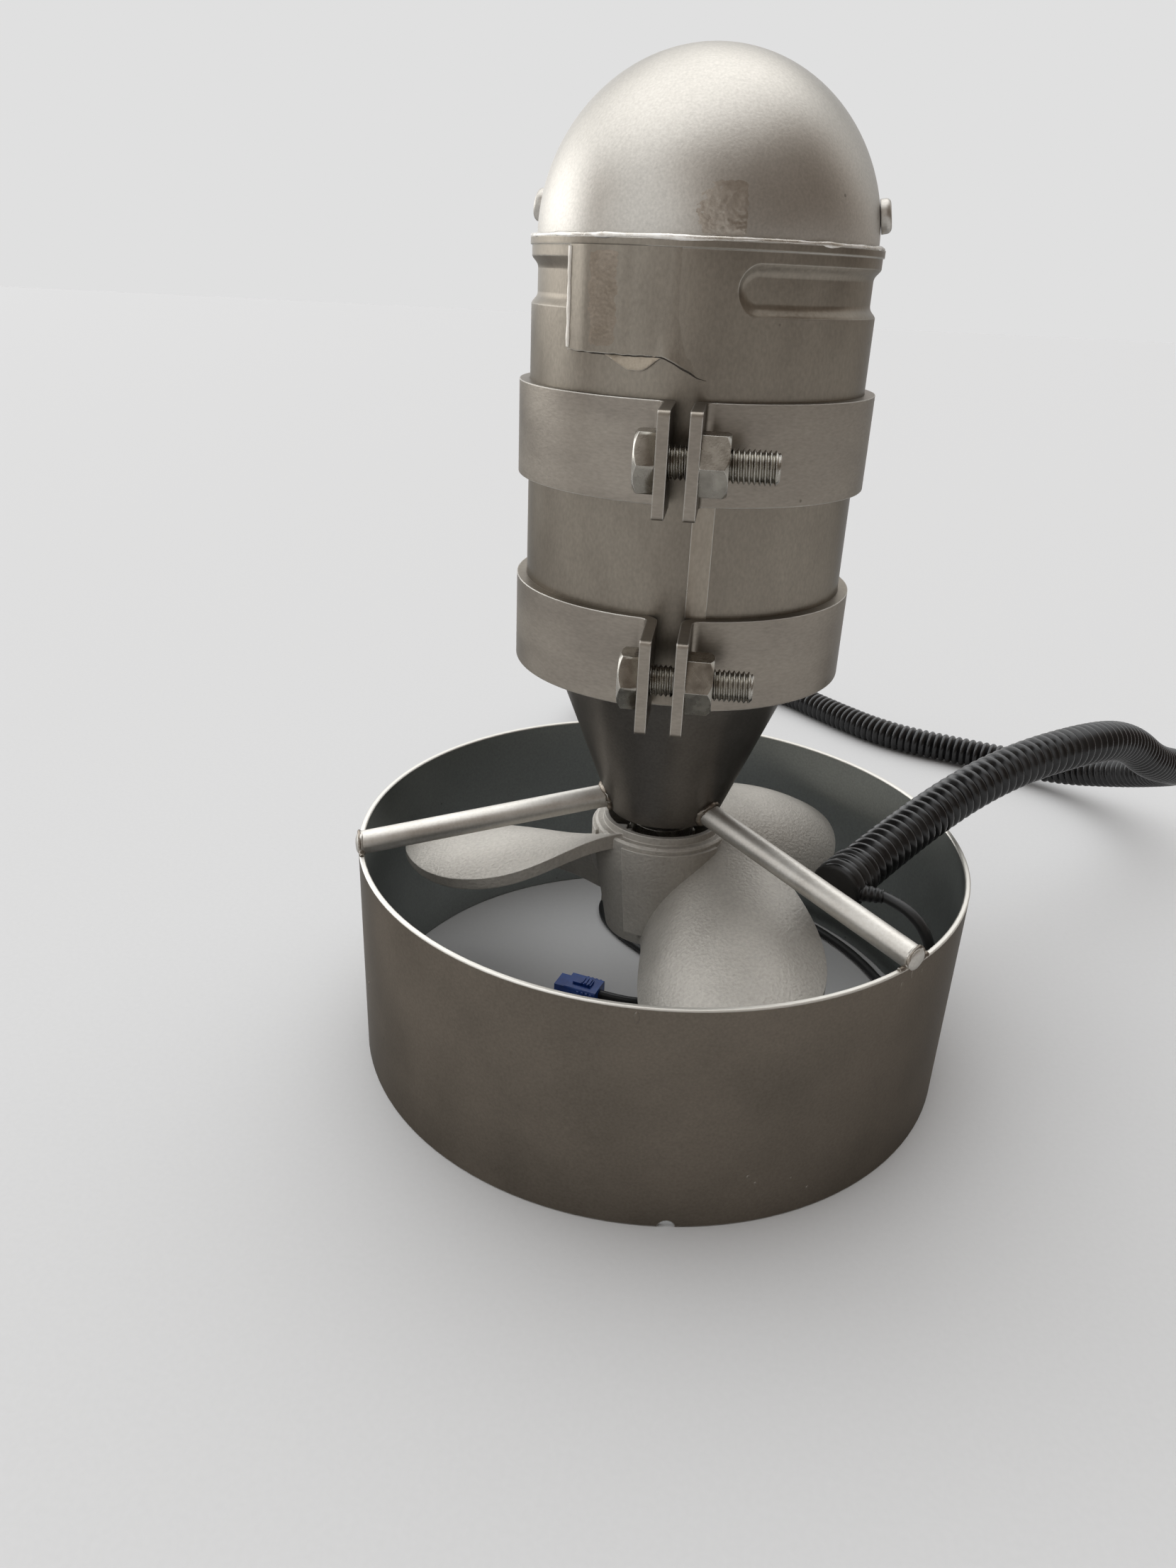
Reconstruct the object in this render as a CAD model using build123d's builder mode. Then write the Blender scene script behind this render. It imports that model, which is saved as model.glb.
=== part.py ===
from build123d import *
import os
from math import cos, pi, radians, sin, sqrt, tan

# Underwater thruster: a sealed electric motor pod, held head-up over a short duct
# ring, drives a three-bladed cast propeller inside the ring.
# Millimetres, +Z up.  The origin is the centre of the ring's lower edge, on the
# propeller's axis.  The clamp ears point along -Y.

# How far a cut runs past the wall it opens, and a joined form into its neighbour
margin = 1.0
# How closely an edge that is picked by its place has to match it
edge_match = 0.01

# Duct ring: rolled steel strip, welded
ring_radius = 120.0
ring_height = 90.0
ring_wall = 2.0
ring_edge_break = 0.4
notch_radius = 3.0
notch_angle = -82.0

# Struts: round rod from the tail cone to the ring's upper edge
strut_diameter = 9.0
rear_strut_angle = 79.0
left_strut_angle = 199.0
right_strut_angle = 319.0
strut_root_rise = 5.5

# Motor pod: drawn steel can.  It reaches down past the cone's shoulder, and its pressed
# groove clears the motor's tie screws inside
pod_radius = 56.0
pod_wall = 1.6
pod_overlap = 21.13
rim_bead = 0.5
rim_bead_height = 2.2
groove_width = 16.0
groove_flank = 4.5
groove_lead = 0.2
groove_depth = 2.0
groove_side = 1.2
groove_clearance = 0.3
groove_start = -70.8
groove_sweep = 315.0
doubler_thickness = 1.0
doubler_gap = 0.1
doubler_rise = 11.5
doubler_start = 229.0
doubler_full_sweep = 19.0
doubler_feather_sweep = 17.0
doubler_end_thickness = 0.15
seam_strip_thickness = 0.5
seam_strip_width = 6.8
seam_strip_angle = -82.0

# Tail cone: spun steel, welded into the can
cone_hub_gap = 3.5
cone_end_radius = 21.6
cone_half_angle = 21.3
cone_wall = 2.0
cone_skirt_height = 7.0

# Nose dome and the ring that joins it to the can
dome_wall = 1.5
joint_ring_flange = 1.5
joint_ring_spigot = 3.2
joint_ring_top_rise = 13.5
joint_ring_wall = 5.4
dome_seal_radius = 1.0
dome_seal_rise = 2.5
dome_screw_angles = (-5.0, 175.0)
dome_screw_elevation = 10.0
dome_screw_diameter = 5.0
dome_screw_head_diameter = 10.0
dome_screw_head_height = 3.2
dome_screw_length = 8.5
dome_screw_clearance = 0.25

# Clamp bands round the can: the lower one flush with its lower edge, the upper one above
# the cable gland.  The bolts' free threads are plain, at the thread's pitch diameter
band_width = 30.0
band_thickness = 3.5
band_gland_gap = 3.5
upper_ear_gap = 5.5
lower_ear_gap = 7.5
ear_end = 9.5
ear_bend_radius = 3.0
ear_corner_radius = 1.5
clamp_bolt_diameter = 10.0
clamp_thread_diameter = 9.03
clamp_bolt_hole = 11.0
clamp_bolt_stand = 14.5
clamp_bolt_length = 35.0
bolt_end_chamfer = 1.0
bolt_head_flats = 17.0
bolt_head_height = 6.4
bolt_head_bevel = 45.0
nut_height = 8.2

# Propeller: aluminium casting with a hub that is open between three ribs
tip_gap = 9.0
hub_radius = 26.8
hub_tail_radius = 20.8
hub_wall = 5.0
hub_top = 95.0
hub_height = 47.5
hub_straight_height = 13.0
hub_edge_break = 0.8
hub_lip_height = 3.0
hub_lip_width = 1.8
boss_radius = 13.5
boss_recess = 5.0
boss_height = 35.0
rib_thickness = 3.2
rib_count = 3
blade_count = 3
blade_angle = -59.6
blade_width = 71.0
blade_section_count = 7
blade_root_share = 0.42
blade_full_share = 0.54
blade_pitch_root = 140.0
blade_pitch_tip = 110.0
blade_camber_radius = 48.0
blade_root_drop = 14.0
blade_droop = 16.0
blade_skew = 11.0
blade_root_thickness = 5.6
blade_tip_thickness = 2.6
bush_radius = 11.5
sleeve_radius = 8.0

# Shaft and what turns with it
shaft_diameter = 15.0
shaft_end_clearance = 0.5
shaft_chamfer = 1.0
shaft_step_gap = 3.0
prop_shaft_diameter = 12.0
shaft_tail = 4.0
running_clearance = 0.05
drive_pin_diameter = 4.0
drive_pin_length = 24.0
thrust_washer_chamfer = 3.0
washer_radius = 12.5
washer_thickness = 2.5
prop_nut_flats = 19.0
prop_nut_height = 10.0
split_pin_diameter = 3.0
split_pin_length = 22.0

# Shaft seals and the tail bearing, in a carrier in the end of the cone
carrier_lip = 1.0
carrier_rim = 0.5
carrier_shaft_clearance = 1.5
seal_count = 2
seal_radius = 15.0
seal_height = 7.0
seal_gap = 0.2
tail_bearing_gap = 2.3
tail_bearing_radius = 16.0
tail_bearing_width = 9.0

# Motor: stator pressed into the can between two end plates
stator_height = 30.0
stator_bore = 28.2
yoke_depth = 7.4
tooth_count = 12
tooth_width = 6.0
tooth_tip_width = 12.4
tooth_tip_height = 2.0
coil_build = 2.4
coil_overhang = 5.0
coil_clearance = 0.1
coil_tip_clearance = 0.6
coil_yoke_clearance = 1.5
coil_gland_clearance = 0.5
magnet_count = 10
magnet_thickness = 3.0
air_gap = 0.7
magnet_arc = 31.0
end_plate_thickness = 8.0
end_plate_boss_radius = 22.0
end_plate_boss_height = 5.0
end_plate_shaft_clearance = 2.0
bearing_lip = 1.0
bearing_radius = 17.5
bearing_width = 11.0
race_thickness = 2.2
ball_count = 7
tie_screw_diameter = 5.0
tie_screw_head_diameter = 7.4
tie_screw_head_height = 4.0
tie_screw_wall_clearance = 0.1
tie_screw_angles = (30.0, 150.0, 270.0)
tie_screw_recess = 1.0
sensor_board_thickness = 1.6
sensor_board_clearance = 1.0

# Cable gland on the back of the can, its nut just above the lower end plate, and the conduit
gland_plate_clearance = 0.87
gland_thread_diameter = 20.0
gland_bore = 13.0
gland_hex_flats = 26.0
gland_hex_height = 6.0
gland_collar_diameter = 25.0
gland_collar_length = 17.0
gland_collar_chamfer = 2.0
gland_tail = 1.0
gland_nut_flats = 24.0
gland_nut_height = 5.0
gland_nut_clearance = 0.1
gland_seal_diameter = 26.0
gland_seal_height = 2.5
phase_lead_diameter = 3.0
phase_lead_spacing = 3.3
phase_lead_bend = 5.0
conduit_diameter = 18.5

# Boot on the conduit's free end, with a nozzle for the sensor lead and its connector
boot_wall = 1.5
boot_socket = 12.0
boot_nozzle_diameter = 7.0
sensor_lead_diameter = 4.0
connector_length = 20.0
connector_width = 12.0
connector_height = 7.0
connector_edge = 1.0
connector_nose_length = 5.0
connector_nose_width = 9.0
connector_nose_height = 4.6

# Sizes that follow from the ones above: first across, then upwards from the hub
ring_bore = ring_radius - ring_wall
tip_radius = ring_bore - tip_gap
pod_bore = pod_radius - pod_wall
band_inner = pod_radius
band_outer = band_inner + band_thickness
clamp_bolt_reach = band_outer + clamp_bolt_stand
ear_reach = clamp_bolt_reach + ear_end
groove_floor = pod_radius - groove_depth
groove_brink = pod_radius + groove_lead
shaft_radius = shaft_diameter / 2
prop_shaft_radius = prop_shaft_diameter / 2
cone_slope = tan(radians(cone_half_angle))
cone_inner_end_radius = cone_end_radius - cone_wall / cos(radians(cone_half_angle))
dome_radius = pod_bore
dome_bore = dome_radius - dome_wall
joint_ring_inner_radius = dome_bore - joint_ring_wall
yoke_radius = pod_bore - yoke_depth
magnet_radius = stator_bore - air_gap
rotor_radius = magnet_radius - magnet_thickness
coil_inner = stator_bore + tooth_tip_height + coil_tip_clearance
coil_outer = yoke_radius - coil_yoke_clearance
phase_lead_radius = (coil_inner + coil_outer) / 2
tie_screw_circle = pod_bore - tie_screw_head_diameter / 2 - tie_screw_wall_clearance
tie_screw_spots = [
    (tie_screw_circle * cos(radians(angle)), tie_screw_circle * sin(radians(angle))) for angle in tie_screw_angles
]
gland_seal_face = pod_radius + gland_seal_height
gland_collar_end = gland_seal_face + gland_hex_height + gland_collar_length
boot_radius = conduit_diameter / 2 + boot_wall

hub_bottom = hub_top - hub_height
hub_taper_top = hub_top - hub_straight_height
boss_top = hub_top - boss_recess
boss_bottom = boss_top - boss_height
blade_root_height = hub_top - blade_root_drop
drive_pin_height = boss_top - drive_pin_diameter / 2
split_pin_height = boss_bottom - washer_thickness - prop_nut_height - split_pin_diameter
shaft_bottom = split_pin_height - shaft_tail
cone_end_height = hub_top + hub_lip_height + cone_hub_gap
strut_root_height = cone_end_height + strut_root_rise
shaft_step_height = cone_end_height - shaft_step_gap
seal_start = cone_end_height + carrier_lip
tail_bearing_height = seal_start + seal_count * (seal_height + seal_gap) - seal_gap + tail_bearing_gap
carrier_top = tail_bearing_height + tail_bearing_width + carrier_rim
cone_top_height = cone_end_height + (pod_bore - cone_end_radius) / cone_slope
cone_inner_top = cone_end_height + (pod_bore - cone_wall - cone_inner_end_radius) / cone_slope
skirt_top = cone_top_height + cone_skirt_height
pod_bottom = cone_top_height - pod_overlap
lower_band_height = pod_bottom + band_width / 2
lower_plate_top = skirt_top + end_plate_thickness
lower_bearing_bottom = lower_plate_top + end_plate_boss_height - bearing_width
gland_height = lower_plate_top + gland_plate_clearance + gland_nut_flats / 2
upper_band_height = gland_height + gland_seal_diameter / 2 + band_gland_gap + band_width / 2
doubler_bottom = upper_band_height + band_width / 2 + doubler_rise
coil_bottom = gland_height + gland_nut_flats / 2 + coil_gland_clearance
stator_bottom = coil_bottom + coil_overhang
stator_top = stator_bottom + stator_height
coil_top = stator_top + coil_overhang
sensor_board_bottom = coil_top + sensor_board_clearance
upper_plate_bottom = sensor_board_bottom + sensor_board_thickness
upper_plate_top = upper_plate_bottom + end_plate_thickness
upper_bearing_bottom = upper_plate_bottom - end_plate_boss_height + bearing_lip
shaft_top = upper_bearing_bottom + bearing_width - shaft_end_clearance
tie_screw_top = upper_plate_top + tie_screw_head_height
groove_centre = tie_screw_top + groove_clearance + groove_side + groove_width / 2
joint_ring_bottom = groove_centre + groove_width / 2 + groove_side
dome_edge = joint_ring_bottom + joint_ring_flange
pod_top = joint_ring_bottom + joint_ring_spigot
seal_circle = sqrt((dome_radius - dome_wall - dome_seal_radius) ** 2 - dome_seal_rise**2)

# The conduit's route: out of the gland behind the pod, down to the floor, round to the
# right in a wide bend, and back up over the ring's edge
conduit_route = [
    (0, gland_collar_end, gland_height),
    (0, 132, gland_height),
    (-6, 181, 200),
    (-18, 221, 168),
    (-33, 250, 128),
    (-48, 276, 86),
    (-66, 306, 48),
    (-75, 349, 26),
    (-63, 392, 14),
    (-28, 424, 9.3),
    (19, 432, 9.3),
    (63, 412, 9.3),
    (98, 371, 9.3),
    (137, 332, 9.3),
    (190, 313, 9.3),
    (238, 287, 13),
    (266, 252, 30),
    (274, 212, 50),
    (262, 173, 68),
    (235, 140, 82),
    (211, 114, 102.5),
    (183, 80, 113.5),
    (139, 47, 110.5),
    (99, 10, 98),
    (67, -37.5, 92.5),
]

# The sensor lead's route: out to the ring, down its wall, round the back on the floor,
# and in under the propeller to the connector
lead_route = [
    (83.2, -41.2, 92.9),
    (89.8, -45.6, 92.5),
    (97.0, -50.4, 87.6),
    (101.1, -53.2, 79.0),
    (100.9, -53.0, 59.5),
    (103.0, -48.9, 42.5),
    (106.4, -41.0, 27.4),
    (110.2, -29.3, 15.0),
    (113.1, -14.5, 6.4),
    (114.0, 2.2, 2.1),
    (109.1, 29.2, 2.1),
    (90.2, 68.0, 2.1),
    (56.5, 97.9, 2.1),
    (19.6, 111.3, 2.1),
    (-3.0, 110.5, 2.1),
    (-20.0, 104.0, 2.1),
    (-30.0, 90.0, 2.1),
    (-30.0, 73.0, 2.1),
    (-20.0, 57.0, 2.1),
    (-6.0, 44.0, 2.1),
    (6.0, 31.0, 2.1),
    (10.0, 17.0, 2.1),
    (4.0, 4.0, 2.4),
    (-9.0, 0.5, 3.5),
    (-22.0, 4.0, 3.5),
]

os.makedirs("parts", exist_ok=True)


def radial_plane(angle):
    """The plane through the axis at an angle: x is the radius, y is the height."""
    a = radians(angle)
    return Plane(origin=(0, 0, 0), x_dir=(cos(a), sin(a), 0), z_dir=(sin(a), -cos(a), 0))


def outward_plane(angle, radius, height):
    """The plane square to a radius, at a radius and a height: x is tangential, y is up."""
    a = radians(angle)
    return Plane(
        origin=(radius * cos(a), radius * sin(a), height),
        x_dir=(-sin(a), cos(a), 0),
        z_dir=(cos(a), sin(a), 0),
    )


def save(piece, name):
    piece.label = name
    export_step(piece, f"parts/{name}.step")


# Duct ring
with BuildPart() as duct_ring:
    with BuildSketch():
        Circle(ring_radius)
        Circle(ring_bore, mode=Mode.SUBTRACT)
    extrude(amount=ring_height)
    chamfer(duct_ring.edges().filter_by(GeomType.CIRCLE), ring_edge_break)
    with BuildSketch(outward_plane(notch_angle, ring_bore - margin, 0)):
        Circle(notch_radius)
    extrude(amount=ring_wall + 2 * margin, mode=Mode.SUBTRACT)
save(duct_ring.part, "duct_ring")

# Tail cone: a straight cone whose skirt fits inside the can
with BuildPart() as tail_cone:
    with BuildSketch(radial_plane(0)):
        with BuildLine():
            Polyline(
                (cone_end_radius, cone_end_height),
                (pod_bore, cone_top_height),
                (pod_bore, skirt_top),
                (pod_bore - cone_wall, skirt_top),
                (pod_bore - cone_wall, cone_inner_top),
                (cone_inner_end_radius, cone_end_height),
                close=True,
            )
        make_face()
    revolve(axis=Axis.Z)
save(tail_cone.part, "tail_cone")


def cone_radius(height):
    return cone_end_radius + (height - cone_end_height) * cone_slope


# Struts: each is coped to the cone and saddled on the ring's upper edge
strut_start = Vector(cone_radius(strut_root_height) - cone_wall, 0, strut_root_height)
strut_end = Vector(ring_radius + strut_diameter, 0, ring_height)
for side, angle in (("rear", rear_strut_angle), ("left", left_strut_angle), ("right", right_strut_angle)):
    with BuildPart() as strut:
        rod_start = strut_start.rotate(Axis.Z, angle)
        rod_end = strut_end.rotate(Axis.Z, angle)
        rod_axis = rod_end - rod_start
        with BuildSketch(Plane(origin=rod_start, z_dir=rod_axis)):
            Circle(strut_diameter / 2)
        extrude(amount=rod_axis.length)
        with BuildSketch():
            Circle(ring_radius)
        extrude(amount=2 * ring_height, mode=Mode.INTERSECT)
        with BuildSketch():
            Circle(ring_radius + margin)
            Circle(ring_bore, mode=Mode.SUBTRACT)
        extrude(amount=ring_height, mode=Mode.SUBTRACT)
        with BuildSketch(radial_plane(0)):
            with BuildLine():
                Polyline(
                    (0, ring_height),
                    (cone_radius(ring_height), ring_height),
                    (pod_bore, cone_top_height),
                    (0, cone_top_height),
                    close=True,
                )
            make_face()
        revolve(axis=Axis.Z, mode=Mode.SUBTRACT)
    save(strut.part, f"strut_{side}")


def half_groove(angle, way):
    """Half of the groove's section in a radial plane, below (-1) or above (1) its middle."""
    flank_start = groove_centre + way * (groove_width / 2 - groove_flank)
    flank_end = groove_centre + way * groove_width / 2
    with BuildSketch(radial_plane(angle)) as half:
        with BuildLine():
            Spline((groove_floor, flank_start), (groove_brink, flank_end), tangents=((0, way), (0, way)))
            Polyline(
                (groove_brink, flank_end),
                (groove_brink + margin, flank_end),
                (groove_brink + margin, groove_centre),
                (groove_floor, groove_centre),
                (groove_floor, flank_start),
            )
        make_face()
    return half.sketch


# Motor can: a tube with a rim bead, and a pressed groove that stops short at the front
with BuildPart() as pod_can:
    with BuildSketch(radial_plane(0)):
        with Locations(((pod_bore + pod_radius) / 2, (pod_bottom + pod_top) / 2)):
            Rectangle(pod_wall, pod_top - pod_bottom)
        with Locations(((pod_bore + pod_radius + rim_bead) / 2, pod_top - rim_bead_height / 2)):
            Rectangle(pod_wall + rim_bead, rim_bead_height)
    revolve(axis=Axis.Z)
    with BuildSketch(radial_plane(groove_start)):
        with BuildLine():
            Polyline(
                (pod_bore + pod_wall / 2, groove_centre - groove_width / 2 - groove_side),
                (pod_bore, groove_centre - groove_width / 2 - groove_side),
                (groove_floor - pod_wall, groove_centre - groove_width / 2),
                (groove_floor - pod_wall, groove_centre + groove_width / 2),
                (pod_bore, groove_centre + groove_width / 2 + groove_side),
                (pod_bore + pod_wall / 2, groove_centre + groove_width / 2 + groove_side),
                close=True,
            )
        make_face()
    revolve(axis=Axis.Z, revolution_arc=groove_sweep)
    for groove_end in (groove_start, groove_start + groove_sweep):
        with BuildSketch(outward_plane(groove_end, groove_floor - pod_wall, groove_centre)):
            Circle(groove_width / 2)
        extrude(amount=pod_wall + groove_depth / 2)
    for way in (-1, 1):
        revolve(half_groove(groove_start, way), axis=Axis.Z, revolution_arc=groove_sweep, mode=Mode.SUBTRACT)
    for groove_end in (groove_start, groove_start + groove_sweep):
        outward = (cos(radians(groove_end)), sin(radians(groove_end)), 0)
        revolve(half_groove(groove_end, 1), axis=Axis((0, 0, groove_centre), outward), mode=Mode.SUBTRACT)
    with BuildSketch(outward_plane(90, pod_bore - 2 * margin, gland_height)):
        Circle(gland_thread_diameter / 2)
    extrude(amount=pod_wall + 4 * margin, mode=Mode.SUBTRACT)
save(pod_can.part, "pod_can")

# Doubler sheet, welded over the groove's closed end: full at its left edge and dressed down
# to nothing on the right
doubler_inner = pod_radius + doubler_gap
doubler_outer = doubler_inner + doubler_thickness
feather_start = doubler_start + doubler_full_sweep
doubler_end = feather_start + doubler_feather_sweep
with BuildPart() as doubler_sheet:
    with BuildSketch(Plane.XY.offset(doubler_bottom)):
        with BuildLine():
            inner_arc = CenterArc((0, 0), doubler_inner, doubler_start, doubler_end - doubler_start)
            outer_arc = CenterArc((0, 0), doubler_outer, doubler_start, doubler_full_sweep)
            thin_edge = Vector(doubler_inner + doubler_end_thickness, 0).rotate(Axis.Z, doubler_end)
            middle_radius = (doubler_outer + doubler_inner + doubler_end_thickness) / 2
            middle = Vector(middle_radius, 0).rotate(Axis.Z, (feather_start + doubler_end) / 2)
            ThreePointArc(outer_arc @ 1, middle, thin_edge)
            Line(thin_edge, inner_arc @ 1)
            Line(inner_arc @ 0, outer_arc @ 0)
        make_face()
    extrude(amount=pod_top - rim_bead_height - doubler_bottom)
save(doubler_sheet.part, "doubler_sheet")

# The can's lap seam strip, between the two bands
seam_strip_sweep = seam_strip_width / pod_radius * 180 / pi
seam_bottom = lower_band_height + band_width / 2
seam_top = upper_band_height - band_width / 2
with BuildPart() as seam_strip:
    with BuildSketch(radial_plane(seam_strip_angle - seam_strip_sweep / 2)):
        with Locations((pod_radius + seam_strip_thickness / 2, (seam_bottom + seam_top) / 2)):
            Rectangle(seam_strip_thickness, seam_top - seam_bottom)
    revolve(axis=Axis.Z, revolution_arc=seam_strip_sweep)
save(seam_strip.part, "can_seam_strip")

def dome_screw_plane(angle, distance):
    """The plane square to a dome screw, at a distance from the dome's centre."""
    level = cos(radians(dome_screw_elevation))
    screw_axis = Vector(level * cos(radians(angle)), level * sin(radians(angle)), sin(radians(dome_screw_elevation)))
    return Plane(origin=Vector(0, 0, pod_top) + screw_axis * distance, z_dir=screw_axis)


# Nose dome: a spun hemisphere with a short skirt inside the can's rim
with BuildPart() as nose_dome:
    with BuildSketch(radial_plane(0)):
        with BuildLine():
            Line((dome_radius, dome_edge), (dome_radius, pod_top))
            CenterArc((0, pod_top), dome_radius, 0, 90)
            Line((0, pod_top + dome_radius), (0, pod_top + dome_bore))
            CenterArc((0, pod_top), dome_bore, 0, 90)
            Line((dome_bore, pod_top), (dome_bore, dome_edge))
            Line((dome_bore, dome_edge), (dome_radius, dome_edge))
        make_face()
    revolve(axis=Axis.Z)
    for angle in dome_screw_angles:
        with BuildSketch(dome_screw_plane(angle, dome_bore - 3 * margin)):
            Circle(dome_screw_diameter / 2 + dome_screw_clearance)
        extrude(amount=dome_wall + 6 * margin, mode=Mode.SUBTRACT)
save(nose_dome.part, "nose_dome")

# Joint ring: a spigot that stands on the groove's bulge and takes the dome's screws
joint_ring_top_radius = sqrt(dome_bore**2 - joint_ring_top_rise**2)
with BuildPart() as joint_ring:
    with BuildSketch(radial_plane(0)):
        with BuildLine():
            Polyline(
                (dome_bore, pod_top),
                (dome_bore, dome_edge),
                (pod_bore, dome_edge),
                (pod_bore, joint_ring_bottom),
                (joint_ring_inner_radius, joint_ring_bottom),
                (joint_ring_inner_radius, pod_top + joint_ring_top_rise),
                (joint_ring_top_radius, pod_top + joint_ring_top_rise),
            )
            RadiusArc(
                (joint_ring_top_radius, pod_top + joint_ring_top_rise),
                (dome_bore, pod_top),
                dome_bore,
            )
        make_face()
    revolve(axis=Axis.Z)
    with BuildSketch(radial_plane(0)):
        with Locations((seal_circle + dome_seal_radius, pod_top + dome_seal_rise)):
            Rectangle(4 * dome_seal_radius, 2 * dome_seal_radius)
    revolve(axis=Axis.Z, mode=Mode.SUBTRACT)
    for angle in dome_screw_angles:
        with BuildSketch(dome_screw_plane(angle, joint_ring_inner_radius / 2)):
            Circle(dome_screw_diameter / 2)
        extrude(amount=dome_radius - joint_ring_inner_radius / 2, mode=Mode.SUBTRACT)
save(joint_ring.part, "joint_ring")

with BuildPart() as dome_seal:
    with BuildSketch(radial_plane(0)):
        with Locations((seal_circle, pod_top + dome_seal_rise)):
            Circle(dome_seal_radius)
    revolve(axis=Axis.Z)
save(dome_seal.part, "dome_seal")

with BuildPart() as dome_screws:
    for angle in dome_screw_angles:
        with BuildSketch(dome_screw_plane(angle, dome_radius - dome_screw_length)):
            Circle(dome_screw_diameter / 2)
        extrude(amount=dome_screw_length + dome_screw_head_height / 2)
        with BuildSketch(dome_screw_plane(angle, dome_radius)):
            Circle(dome_screw_head_diameter / 2)
        extrude(amount=dome_screw_head_height)
    head_rims = dome_screws.faces().sort_by(lambda face: -(face.center() - Vector(0, 0, pod_top)).length)[:2]
    fillet([edge for face in head_rims for edge in face.edges()], dome_screw_head_height / 2)
save(dome_screws.part, "dome_screws")

# Clamp bands: steel strip bent round the can, its ends turned out as ears
clamp_ears = {"upper": (upper_band_height, upper_ear_gap), "lower": (lower_band_height, lower_ear_gap)}
for place, (height, gap) in clamp_ears.items():
    ear_inner = gap / 2
    ear_outer = ear_inner + band_thickness
    with BuildPart() as band:
        with BuildSketch(Plane.XY.offset(height - band_width / 2)):
            Circle(band_outer)
            with Locations((0, -(ear_reach + band_inner) / 2)):
                Rectangle(2 * ear_outer, ear_reach - band_inner)
            Circle(band_inner, mode=Mode.SUBTRACT)
            with Locations((0, -ear_reach)):
                Rectangle(gap, 2 * band_inner, mode=Mode.SUBTRACT)
        extrude(amount=band_width)
        uprights = band.edges().filter_by(Axis.Z)
        bend_outer = sqrt(band_outer**2 - ear_outer**2)
        bend_inner = sqrt(band_inner**2 - ear_inner**2)
        fillet(uprights.filter_by(lambda e: abs(e.center().Y + bend_outer) < edge_match), ear_bend_radius)
        uprights = band.edges().filter_by(Axis.Z)
        fillet(
            uprights.filter_by(lambda e: abs(e.center().Y + bend_inner) < edge_match),
            ear_bend_radius + band_thickness,
        )
        ear_ends = band.edges().filter_by(Axis.X).filter_by(lambda e: abs(e.center().Y + ear_reach) < edge_match)
        fillet(ear_ends, ear_corner_radius)
        with BuildSketch(Plane(origin=(-2 * ear_outer, -clamp_bolt_reach, height), z_dir=(1, 0, 0))):
            Circle(clamp_bolt_hole / 2)
        extrude(amount=4 * ear_outer, mode=Mode.SUBTRACT)
    save(band.part, f"{place}_clamp_band")

    # Hexagon bolt through both ears, head on the left, and its nut on the right
    with BuildPart() as bolt:
        head_plane = Plane(
            origin=(-ear_outer - bolt_head_height, -clamp_bolt_reach, height),
            x_dir=(0, 1, 0),
            z_dir=(1, 0, 0),
        )
        with BuildSketch(head_plane):
            RegularPolygon(bolt_head_flats / 2, 6, major_radius=False)
        extrude(amount=bolt_head_height)
        with BuildSketch(head_plane):
            Circle(bolt_head_flats / 2)
        extrude(amount=bolt_head_height, taper=-bolt_head_bevel, mode=Mode.INTERSECT)
        with BuildSketch(head_plane.offset(bolt_head_height)):
            Circle(clamp_bolt_diameter / 2)
        extrude(amount=2 * ear_outer + nut_height)
        with BuildSketch(head_plane.offset(bolt_head_height)):
            Circle(clamp_thread_diameter / 2)
        extrude(amount=clamp_bolt_length)
        chamfer(bolt.faces().sort_by(Axis.X)[-1].edges(), bolt_end_chamfer)
    save(bolt.part, f"{place}_clamp_bolt")
    with BuildPart() as nut:
        nut_plane = Plane(origin=(ear_outer, -clamp_bolt_reach, height), x_dir=(0, 1, 0), z_dir=(1, 0, 0))
        with BuildSketch(nut_plane):
            RegularPolygon(bolt_head_flats / 2, 6, major_radius=False)
        extrude(amount=nut_height)
        with BuildSketch(nut_plane.offset(nut_height)):
            Circle(bolt_head_flats / 2)
        extrude(amount=-nut_height, taper=-bolt_head_bevel, mode=Mode.INTERSECT)
        with BuildSketch(nut_plane):
            Circle(clamp_bolt_diameter / 2)
        extrude(amount=nut_height, mode=Mode.SUBTRACT)
    save(nut.part, f"{place}_clamp_nut")

# One propeller blade on the +X axis: cupped sections, coarser in pitch at the root,
# trimmed to the rounded outline that shows from above
blade_start = hub_radius / 2
blade_span = tip_radius - hub_radius


def blade_station(radius):
    """The section plane at a radius: x runs along the chord, y away from the water side."""
    along = max(0.0, (radius - hub_radius) / blade_span)
    pitch = blade_pitch_root + (blade_pitch_tip - blade_pitch_root) * along
    rise = pitch / (2 * pi * max(radius, hub_tail_radius))
    middle = Vector(radius, -blade_skew * along, blade_root_height - blade_droop * along**3)
    return Plane(origin=middle, x_dir=Vector(0, 1, rise), z_dir=(1, 0, 0))


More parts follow.
